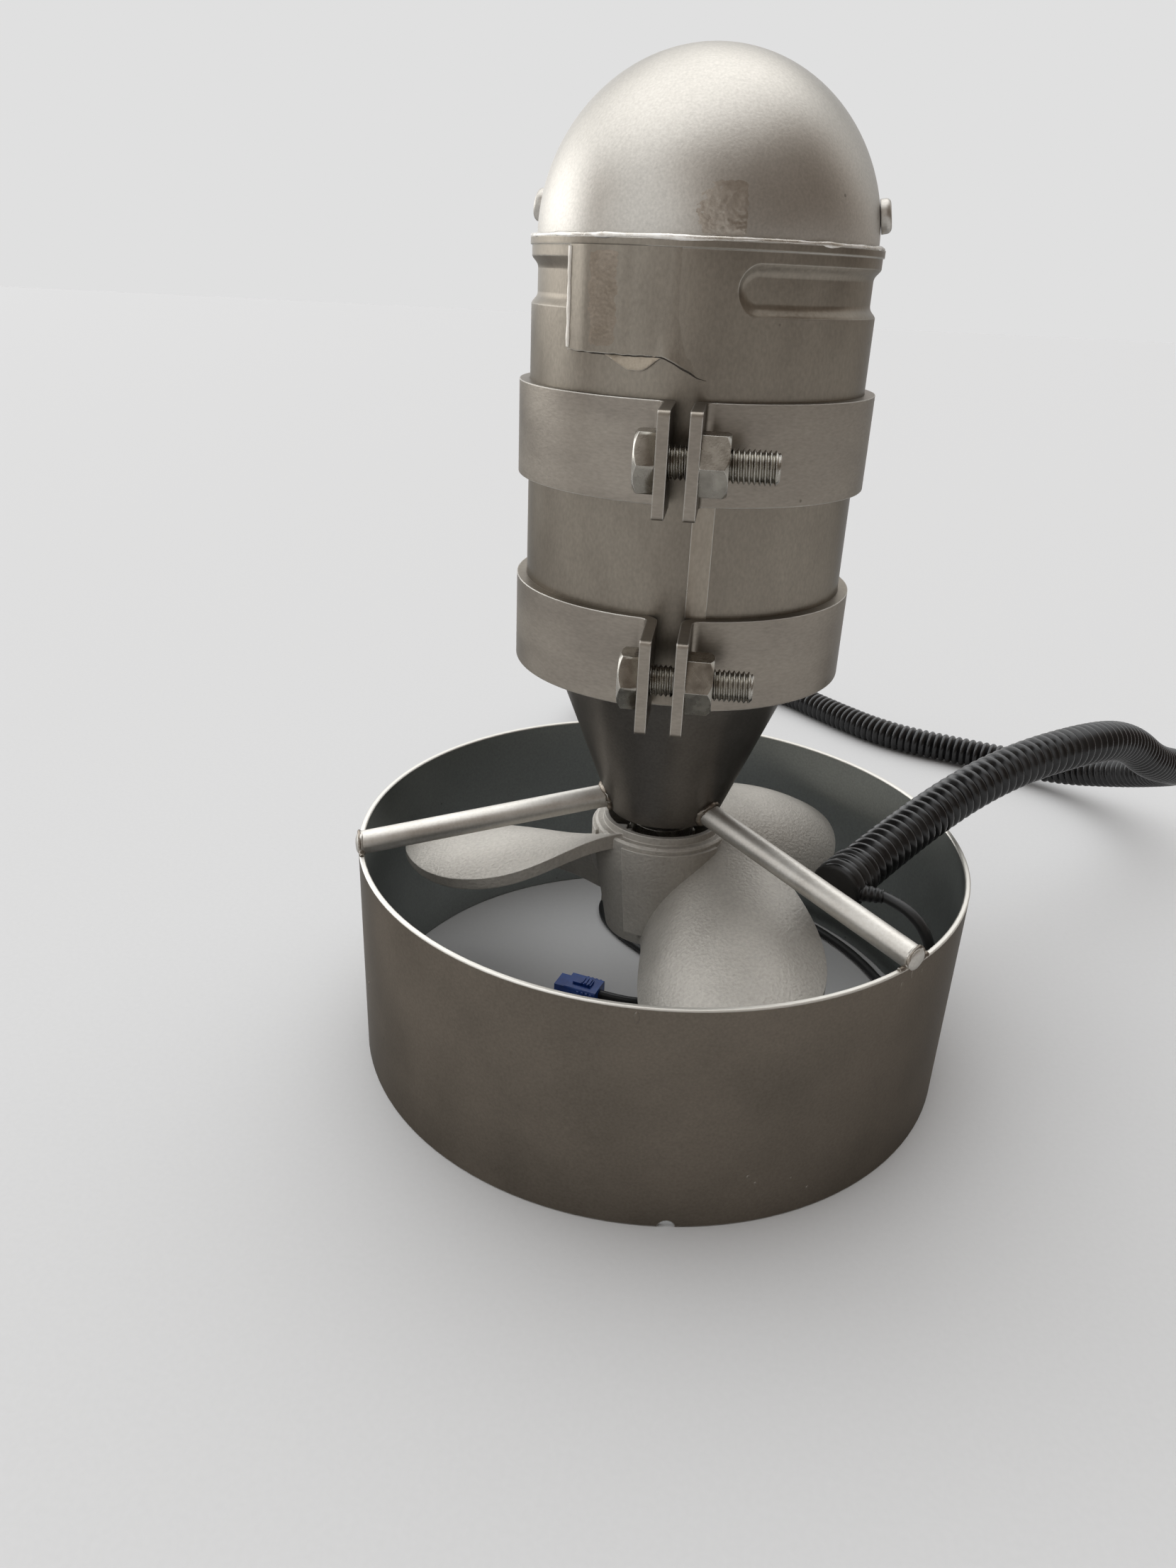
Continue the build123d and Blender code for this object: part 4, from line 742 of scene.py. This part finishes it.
# Rough filler down the doubler: a strip that was wiped on with a rag and dried in wrinkles.  It
# fades out at its sides and ends.
strip_paint = satin_silver(
    "rough_filler_paint", "#8b8175", "#7a7064", 0.38, blotch=0.012, grain=0.0008, grain_depth=0.00006
)
strip_columns, strip_rows = 60, 130
strip_left, strip_sweep = -123.4, 11.8
strip_bottom, strip_height = 0.2722, 0.0274
filler_sink = 0.00003
strip_points = []
for row in range(strip_rows):
    for column in range(strip_columns):
        degrees = strip_left + strip_sweep * column / (strip_columns - 1)
        height = strip_bottom + strip_height * row / (strip_rows - 1)
        worn = noise.fractal(Vector((degrees * 0.3, height * 330, 4.0)), 1.0, 2.0, 3)
        fade = smooth(strip_left + 1.5 * worn, -119.6 + 1.5 * worn, degrees)
        fade *= 1 - smooth(-115.2 + worn, -111.8 + worn, degrees)
        fade *= smooth(strip_bottom, 0.2760, height) * (1 - smooth(0.2975, 0.2996, height))
        wrinkle = noise.fractal(Vector((degrees * 0.6, height * 1150, 6.0)), 0.9, 2.0, 3)
        stand = doubler_height(degrees, height) + fade * (0.00012 + 0.00009 * wrinkle) - filler_sink
        strip_points.append(polar(pod_radius + stand, degrees, height))
strip_faces = grid_faces(strip_rows, strip_columns)
add_piece("doubler_rough_strip", strip_points, strip_faces, strip_paint, slot="silver_paint")

# Edges of the doubler: its left one has a thin proud bead in a near-white paint, a painted
# highlight for the lit edge, and under its lower edge and along the crack runs a dark line, a
# painted shadow.
edge_heights = np.linspace(0.2722, 0.2998, 50)
edge_line = [polar(pod_radius + 0.0006, doubler_left, height) for height in edge_heights]
edge_highlight_paint = satin_silver(
    "edge_paint_painted_highlight", "#f0ebe3", "#d5cfc5", 0.40, blotch=0.006, grain=0.0008, flakes=0.3
)
edge_sizes = [0.00075 + 0.00015 * noise.noise(Vector((0.0, 3.0, height * 260))) for height in edge_heights]
edge_tube = swept_tube(np.array(edge_line), edge_sizes, 10)
add_piece("doubler_edge_highlight_bead", *edge_tube, edge_highlight_paint, slot="silver_paint")
# Painted shadow: a dark tube laid under the doubler's lower edge and along its crack, where shade falls.
painted_shadow_dark = moulded_polymer("painted_shadow_dark", "#2a251f", "#3f382f", 0.75, 0.0008, 0.00004)
gap_left, gap_right = -130.5, -84.5
gap_line, gap_sizes = [], []
for degrees in np.linspace(gap_left, gap_right, 120):
    gap_line.append(polar(pod_radius + 0.0001, degrees, doubler_lower(degrees) - 0.0002))
    wide = smooth(gap_left, -118.0, degrees) * (1 - smooth(-92.0, gap_right, degrees))
    gap_sizes.append(0.00006 + 0.00022 * wide)
gap_tube = swept_tube(np.array(gap_line), gap_sizes, 8)
add_piece("doubler_painted_shadow_line", *gap_tube, painted_shadow_dark, slot="silver_paint")

# Nose dome: steel spun into a half ball, pushed into the can and held by two round-headed
# screws.  Its paint is made brighter than the can's, a painted highlight for the light from
# above, and it has a wrinkled patch where filler was wiped on.
dome_radius = 0.0544
dome_centre_height = 0.3025
dome_paint = satin_silver(
    "dome_paint_with_painted_highlight", "#bfbbb4", "#b3afa8", 0.38, blotch=0.05, grain=0.0008, ripple=0.00008
)
finish(dome_paint, "nose_dome", "dome_screws")
patch_columns, patch_rows = 90, 90
patch_left, patch_sweep = -92.0, 16.6
patch_bottom, patch_height = 0.0012, 0.0158
patch_points = []
for row in range(patch_rows):
    for column in range(patch_columns):
        degrees = patch_left + patch_sweep * column / (patch_columns - 1)
        height = patch_bottom + patch_height * row / (patch_rows - 1)
        ragged = 0.7 * noise.noise(Vector((height * 700, 2.0, 2.0)))
        worn = noise.fractal(Vector((degrees * 0.28, height * 420, 8.0)), 1.0, 2.0, 3)
        fade = smooth(patch_left + 4.0 * worn, -79.5 + 3.0 * worn, degrees)
        fade *= 1 - smooth(-77.2 + ragged, -75.9 + ragged, degrees)
        fade *= smooth(patch_bottom, 0.0030, height) * (1 - smooth(0.0060 + 0.004 * worn, 0.0166, height))
        wrinkle = noise.fractal(Vector((degrees * 0.6, height * 1150, 5.0)), 0.9, 2.0, 3)
        radius = dome_radius + fade * (0.00018 + 0.00013 * wrinkle) - filler_sink
        patch_points.append(polar(math.sqrt(radius**2 - height**2), degrees, height + dome_centre_height))
# The patch's darker, browner tone is in part the filler's own colour and in part a painted warm reflection.
patch_paint = satin_silver(
    "filler_tone_and_painted_reflection", "#b5aea4", "#a39a8f", 0.38, blotch=0.009, grain=0.0008, grain_depth=0.00006
)
patch_faces = grid_faces(patch_rows, patch_columns)
add_piece("dome_wrinkled_patch", patch_points, patch_faces, patch_paint, slot="dome_paint")

# Joint between dome and can: a thick bead of paint over filler that cracked and broke away in
# places.  It catches the light as a bright wavering line, and its near-white paint, lighter than
# the dome's, adds a painted highlight along it.
joint_highlight_paint = satin_silver(
    "joint_bead_highlight_paint", "#e4e1dc", "#bdb7ad", 0.28, blotch=0.005, grain=0.0007, grain_depth=0.00006
)
joint_radius = 0.0557
joint_height = 0.3027
bead_radius = 0.00074
least_bead_radius = 0.00025
joint_line, joint_sizes = [], []
for degrees in np.arange(0.0, 360.0, 0.4):
    around = polar(0.012, degrees, 0.0) * 100
    waver = noise.noise(Vector(around * 6.0))
    climb = noise.noise(Vector(around * 3.0) + Vector((9, 9, 9)))
    joint_line.append(polar(joint_radius + 0.00025 * waver, degrees, joint_height + 0.00030 * climb))
    thicker = smooth(-150.0, -125.0, degrees - 360.0) * (1 - smooth(-95.0, -80.0, degrees - 360.0))
    lumpy = noise.noise(Vector(around * 5.0)) + 0.35 * noise.noise(Vector(around * 13.0))
    swollen = bead_radius + 0.00036 * lumpy + 0.00020 * waver + 0.00022 * thicker
    joint_sizes.append(max(least_bead_radius, swollen))
joint_line.append(joint_line[0])
joint_sizes.append(joint_sizes[0])
joint_tube = swept_tube(np.array(joint_line), joint_sizes, 10)
add_piece("dome_joint_bead", *joint_tube, joint_highlight_paint, slot="dome_paint")

# Clamp bands: 30 × 3.5 mm flat steel bent round the can, with its ends turned out as ears.
# The flat bar keeps its drawn lines under the paint, and its edges are lightened, in part as
# worn paint and in part as a painted highlight.
band_paint = satin_silver(
    "flat_bar_band_paint", "#968f85", "#888178", 0.34, blotch=0.026, grain=0.0012, ripple=0.00010,
    streaks=(0.6, 0.6, 1.7),
)
finish(band_paint, "upper_clamp_band", "lower_clamp_band")

# Clamp bolts and nuts: M10 steel, cold headed, with rolled threads of 1.5 mm pitch, zinc plated
# and gone dull.  The plate is clouded all over, and its edges are lightened, in part as worn
# plate and in part as a painted highlight.
bloom_size = 0.004
spangle_size = 0.0006
zinc = new_material("dull_zinc_plate")
zinc_place = add_node(zinc, "ShaderNodeTexCoord").outputs["Object"]
bloom = add_node(
    zinc, "ShaderNodeTexNoise", {"Scale": 1 / bloom_size, "Detail": 6.0}, {"Vector": zinc_place}
).outputs["Fac"]
spangle = add_node(
    zinc, "ShaderNodeTexNoise", {"Scale": 1 / spangle_size, "Detail": 2.0}, {"Vector": zinc_place}
).outputs["Fac"]
zinc_tone = add_node(
    zinc, "ShaderNodeValToRGB", {"stops": ((0.3, "#89857d"), (0.72, "#a9a59c"))}, {"Fac": bloom}
)
zinc_edge, zinc_worn_and_highlit = worn_and_highlit_edges(zinc, radius=0.00025, samples=8, flat=0.99, sharp=0.9)
zinc_colour = add_node(
    zinc, "ShaderNodeMix", {"data_type": "RGBA", 7: linear("#c9c7c2")},
    {0: zinc_worn_and_highlit, 6: zinc_tone.outputs[0]},
)
zinc_sheen = add_node(zinc, "ShaderNodeMapRange", {"To Min": 0.18, "To Max": 0.36}, {"Value": bloom})
zinc_bump = add_node(zinc, "ShaderNodeBump", {"Distance": 0.00002}, {"Height": spangle, "Normal": zinc_edge})
zinc_shader = add_node(
    zinc, "ShaderNodeBsdfPrincipled", {"Metallic": 1.0},
    {
        "Base Color": zinc_colour.outputs[2],
        "Roughness": zinc_sheen.outputs[0],
        "Normal": zinc_bump.outputs[0],
    },
)
add_node(zinc, "ShaderNodeOutputMaterial", links={"Surface": zinc_shader.outputs[0]})
finish(
    zinc, "upper_clamp_nut", "lower_clamp_nut", "prop_nut", "prop_washer", "thrust_washer", "split_pin",
    "tie_screws",
)

thread_pitch = 0.0015
thread_step = thread_pitch / 10
thread_depth = 0.0009
thread_crest = 0.00496
thread_runout = 0.003
bolt_half_flats = 0.0085
bolt_chamfer = bolt_half_flats * 0.93
bolt_head_height = 0.0064
bolt_length = 0.035
bolt_point = 0.0012
bolt_reach = -0.074
bolt_segments = 72
turns = np.linspace(0.0, 2 * math.pi, bolt_segments, endpoint=False)
hexagon = bolt_half_flats / np.cos(np.mod(turns, math.pi / 3) - math.pi / 6)
level = np.ones(bolt_segments)
for name, height, ear_outer in (("upper", 0.2450, 0.00625), ("lower", 0.1795, 0.00725)):
    under_head = -ear_outer
    head_face = under_head - bolt_head_height
    rings = [
        (level * (head_face + 0.0002), level * (bolt_chamfer - 0.0004)),
        (level * head_face, level * bolt_chamfer),
        (head_face + (hexagon - bolt_chamfer) * 0.7, hexagon),
        (level * (under_head - 0.0003), hexagon),
        (level * under_head, hexagon - 0.0003),
        (level * under_head, level * thread_crest),
    ]
    for along in np.arange(thread_step, bolt_length + 1e-9, thread_step):
        phase = np.mod(along / thread_pitch - turns / (2 * math.pi), 1.0)
        groove = np.clip(1.15 * (1 - np.abs(2 * phase - 1)) - 0.075, 0.0, 1.0)
        threaded = thread_crest - thread_depth * smooth(0.0, thread_runout, along) * groove
        end_cone = thread_crest - max(0.0, along - bolt_length + bolt_point)
        rings.append((level * (under_head + along), np.minimum(threaded, end_cone)))
    bolt_points = [
        (x, bolt_reach + radius * math.cos(turn), height + radius * math.sin(turn))
        for places, radii in rings
        for x, radius, turn in zip(places, radii, turns)
    ]
    bolt_faces = turned_over(grid_faces(len(rings), bolt_segments, closed=True))
    bolt_faces.append(tuple(range(bolt_segments)))
    bolt_faces.append(tuple(reversed(range(len(bolt_points) - bolt_segments, len(bolt_points)))))
    bolt = add_piece(f"{name}_threaded_bolt", bolt_points, bolt_faces, zinc, slot="zinc_steel", smooth=False)
    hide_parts(f"{name}_clamp_bolt")

# Propeller: aluminium, cast in sand and painted with the rest.  The sand's grain stands on the
# blades, and the blade roots run into flat-sided pads on the hub.
# The propeller's paint is made lighter than the can's, a painted highlight for the light on its blades.
propeller_paint = satin_silver(
    "propeller_paint_with_painted_highlight", "#b4b0a9", "#a5a19a", 0.55, blotch=0.030, grain=0.0012,
    grain_depth=0.00030, ripple=0.00012, flakes=0.45,
)
finish(propeller_paint, "propeller")
hub_radius = 0.0268
pad_columns, pad_rows = 44, 26
pad_left, pad_sweep = -119.6, 84.0
pad_top = 0.0929
pad_bottom = 0.0562
pad_least_height = 0.0024
pad_lean = 6.0
pad_stand = 0.0012
pad_depth = 0.0042
pad_slope_top = 0.082
blade_root = -101.0
blade_root_climb = 0.00053
blade_root_step = 0.0030
pad_vertices, pad_faces = [], []
for blade in range(3):
    first = len(pad_vertices)
    for row in range(pad_rows + 2):
        for column in range(pad_columns + 2):
            across = min(max(column - 1, 0), pad_columns - 1) / (pad_columns - 1)
            degrees = pad_left + pad_sweep * across
            floor_height = pad_bottom + blade_root_climb * max(0.0, degrees - blade_root)
            if degrees > blade_root:
                floor_height -= blade_root_step
            floor_height = min(floor_height, pad_top - pad_least_height)
            share = min(max(row - 1, 0), pad_rows - 1) / (pad_rows - 1)
            height = floor_height + share * (pad_top - floor_height)
            degrees += pad_lean * (1 - across) * (pad_top - height) / 0.034
            below_slope_top = max(0.0, pad_slope_top - height)
            if row in (0, pad_rows + 1) or column in (0, pad_columns + 1):
                radius = hub_radius - pad_depth - 0.17 * below_slope_top
            else:
                lump = 0.00008 * noise.noise(Vector((degrees * 0.3, height * 300, blade)))
                radius = hub_radius + pad_stand - 0.010 * below_slope_top + lump
            pad_vertices.append(polar(radius, degrees + 120.0 * blade, height))
    pad_faces.extend(tuple(first + i for i in face) for face in grid_faces(pad_rows + 2, pad_columns + 2))
add_piece("hub_casting_pads", pad_vertices, pad_faces, propeller_paint, body="rotor", slot="propeller_paint")

# Shaft, pins, races, balls and sleeve: bearing and tool steel, hardened, and ground bright
# between the wheels of a grinder.
def turned_metal(name, bright, deep, roughness, line_spacing):
    """Metal straight from a lathe or grinder: bright, with fine rings round the axis.  The
    rings are drawn coarser than the tool's feed so that they show."""
    metal = new_material(name)
    place = add_node(metal, "ShaderNodeTexCoord").outputs["Object"]
    lines = add_node(metal, "ShaderNodeMapping", {"Scale": (0.05, 0.05, 1.0)}, {"Vector": place}).outputs[0]
    feed = add_node(
        metal, "ShaderNodeTexNoise", {"Scale": 1 / line_spacing, "Detail": 2.0}, {"Vector": lines}
    ).outputs["Fac"]
    tone = add_node(metal, "ShaderNodeValToRGB", {"stops": ((0.3, deep), (0.7, bright))}, {"Fac": feed})
    sheen = add_node(
        metal, "ShaderNodeMapRange", {"To Min": roughness - 0.06, "To Max": roughness + 0.1}, {"Value": feed}
    )
    bump = add_node(metal, "ShaderNodeBump", {"Distance": 0.00002}, {"Height": feed})
    shader = add_node(
        metal, "ShaderNodeBsdfPrincipled", {"Metallic": 1.0},
        {"Base Color": tone.outputs[0], "Roughness": sheen.outputs[0], "Normal": bump.outputs[0]},
    )
    add_node(metal, "ShaderNodeOutputMaterial", links={"Surface": shader.outputs[0]})
    return metal


ground_steel = turned_metal("ground_bearing_steel", "#c8c8c6", "#a6a6a4", 0.2, 0.0006)
finish(
    ground_steel, "propeller_shaft", "drive_pin", "bearing_inner_races", "bearing_outer_races",
    "bearing_balls", "bush_sleeve",
)

# Joint ring, seal carrier and end plates: aluminium bar, turned on a lathe and left bare.
bar_aluminium = turned_metal("turned_aluminium", "#cfd0d1", "#adaeb0", 0.3, 0.0009)
finish(bar_aluminium, "joint_ring", "seal_carrier", "lower_end_plate", "upper_end_plate")

# Motor inside the can: stacked silicon-steel cores, nickel-plated magnets, enamelled copper
# coils and three silicone-covered leads to the gland, with the sensor board above.
core_steel = turned_metal("stacked_silicon_steel", "#6c6d70", "#4e4f52", 0.42, 0.0007)
finish(core_steel, "stator_core", "rotor_core")
magnet_nickel = turned_metal("nickel_plated_magnet", "#b3b1aa", "#98968f", 0.24, 0.003)
finish(magnet_nickel, "rotor_magnets")
copper = turned_metal("enamelled_copper_wire", "#c8763f", "#8e4a22", 0.28, 0.0009)
finish(copper, "stator_windings")
silicone = moulded_polymer("red_silicone_insulation", "#7a1d18", "#8e2a22", 0.5, 0.0008, 0.00002)
finish(silicone, "phase_leads")
laminate = moulded_polymer("green_glass_epoxy", "#0f4a2a", "#175a35", 0.4, 0.0010, 0.00002)
finish(laminate, "sensor_board")
nitrile = moulded_polymer("moulded_nitrile", "#101010", "#1f1e1d", 0.48, 0.0008, 0.00003)
finish(nitrile, "shaft_seals", "dome_seal", "hub_bush", "gland_seal")

# Cable gland on the back of the can: moulded black nylon, screwed through a hole in the wall
# against a flat rubber seal and held by a nut inside.
gland_nylon = moulded_polymer("moulded_black_nylon", "#111112", "#232324", 0.36, 0.0010, 0.00004)
finish(gland_nylon, "cable_gland", "gland_nut")

# Studio: a pale floor under a large soft box, with three low boxes from the left round to the
# back, one in front on the left, one high behind on the right and a faint wide one behind.
# They are bright parts of the surrounding air, so they light and show in the metal alike.
fibre_size = 0.002
floor_reach = 8
paper = new_material("studio_paper")
paper_place = add_node(paper, "ShaderNodeTexCoord").outputs["Object"]
fibre = add_node(
    paper, "ShaderNodeTexNoise", {"Scale": 1 / fibre_size, "Detail": 3.0}, {"Vector": paper_place}
).outputs["Fac"]
paper_tone = add_node(
    paper, "ShaderNodeValToRGB", {"stops": ((0.3, "#bfbfbf"), (0.7, "#c1c1c1"))}, {"Fac": fibre}
)
matt = add_node(
    paper, "ShaderNodeBsdfPrincipled", {"Roughness": 0.95, "Specular IOR Level": 0.1},
    {"Base Color": paper_tone.outputs[0]},
)
add_node(paper, "ShaderNodeOutputMaterial", links={"Surface": matt.outputs[0]})
floor_mesh = bpy.data.meshes.new("studio_floor")
floor_corners = [(x * floor_reach, y * floor_reach, 0) for x, y in ((-1, -1), (1, -1), (1, 1), (-1, 1))]
floor_mesh.from_pydata(floor_corners, [], [(0, 1, 2, 3)])
floor_mesh.materials.append(paper)
floor = bpy.data.objects.new("studio_floor", floor_mesh)
bpy.context.scene.collection.objects.link(floor)

world = bpy.data.worlds.new("studio_air")
world.use_nodes = True
world.node_tree.nodes.clear()
room_strength = 0.20
way_out = add_node(world, "ShaderNodeTexCoord").outputs["Generated"]
glow = None
for direction, edge, core, strength in (
    ((-0.94, 0.32, 0.04), 0.85, 0.99, 2.0),
    ((-0.86, 0.50, 0.10), 0.86, 0.99, 1.6),
    ((-0.50, 0.85, 0.16), 0.90, 0.99, 1.6),
    ((-0.30, 0.25, 1.00), 0.50, 0.98, 2.05),
    ((-0.62, -0.75, 0.20), 0.72, 0.98, 1.0),
    ((0.42, 0.80, 0.62), 0.66, 0.98, 0.85),
    ((0.00, 1.00, 0.10), 0.30, 0.95, 0.15),
):
    aim = Vector(direction).normalized()
    facing = add_node(world, "ShaderNodeVectorMath", {"operation": "DOT_PRODUCT", 1: aim}, {0: way_out})
    box = add_node(
        world, "ShaderNodeMapRange",
        {"interpolation_type": "SMOOTHSTEP", "From Min": edge, "From Max": core, "To Max": strength},
        {"Value": facing.outputs["Value"]},
    ).outputs[0]
    if glow is None:
        glow = box
    else:
        glow = add_node(world, "ShaderNodeMath", {"operation": "ADD"}, {0: glow, 1: box}).outputs[0]
room = add_node(world, "ShaderNodeMath", {"operation": "ADD", 1: room_strength}, {0: glow})
tint = add_node(world, "ShaderNodeValToRGB", {"stops": ((0.02, "#ffead8"), (0.9, "#fdfeff"))}, {"Fac": glow})
lit = add_node(world, "ShaderNodeBackground", {}, {"Color": tint.outputs[0], "Strength": room.outputs[0]})
seen = add_node(world, "ShaderNodeBackground", {"Color": linear("#e0e0e0"), "Strength": 1.0})
from_camera = add_node(world, "ShaderNodeLightPath").outputs["Is Camera Ray"]
air = add_node(world, "ShaderNodeMixShader", {}, {0: from_camera, 1: lit.outputs[0], 2: seen.outputs[0]})
add_node(world, "ShaderNodeOutputWorld", links={"Surface": air.outputs[0]})
bpy.context.scene.world = world
bpy.context.scene.view_settings.view_transform = "Standard"
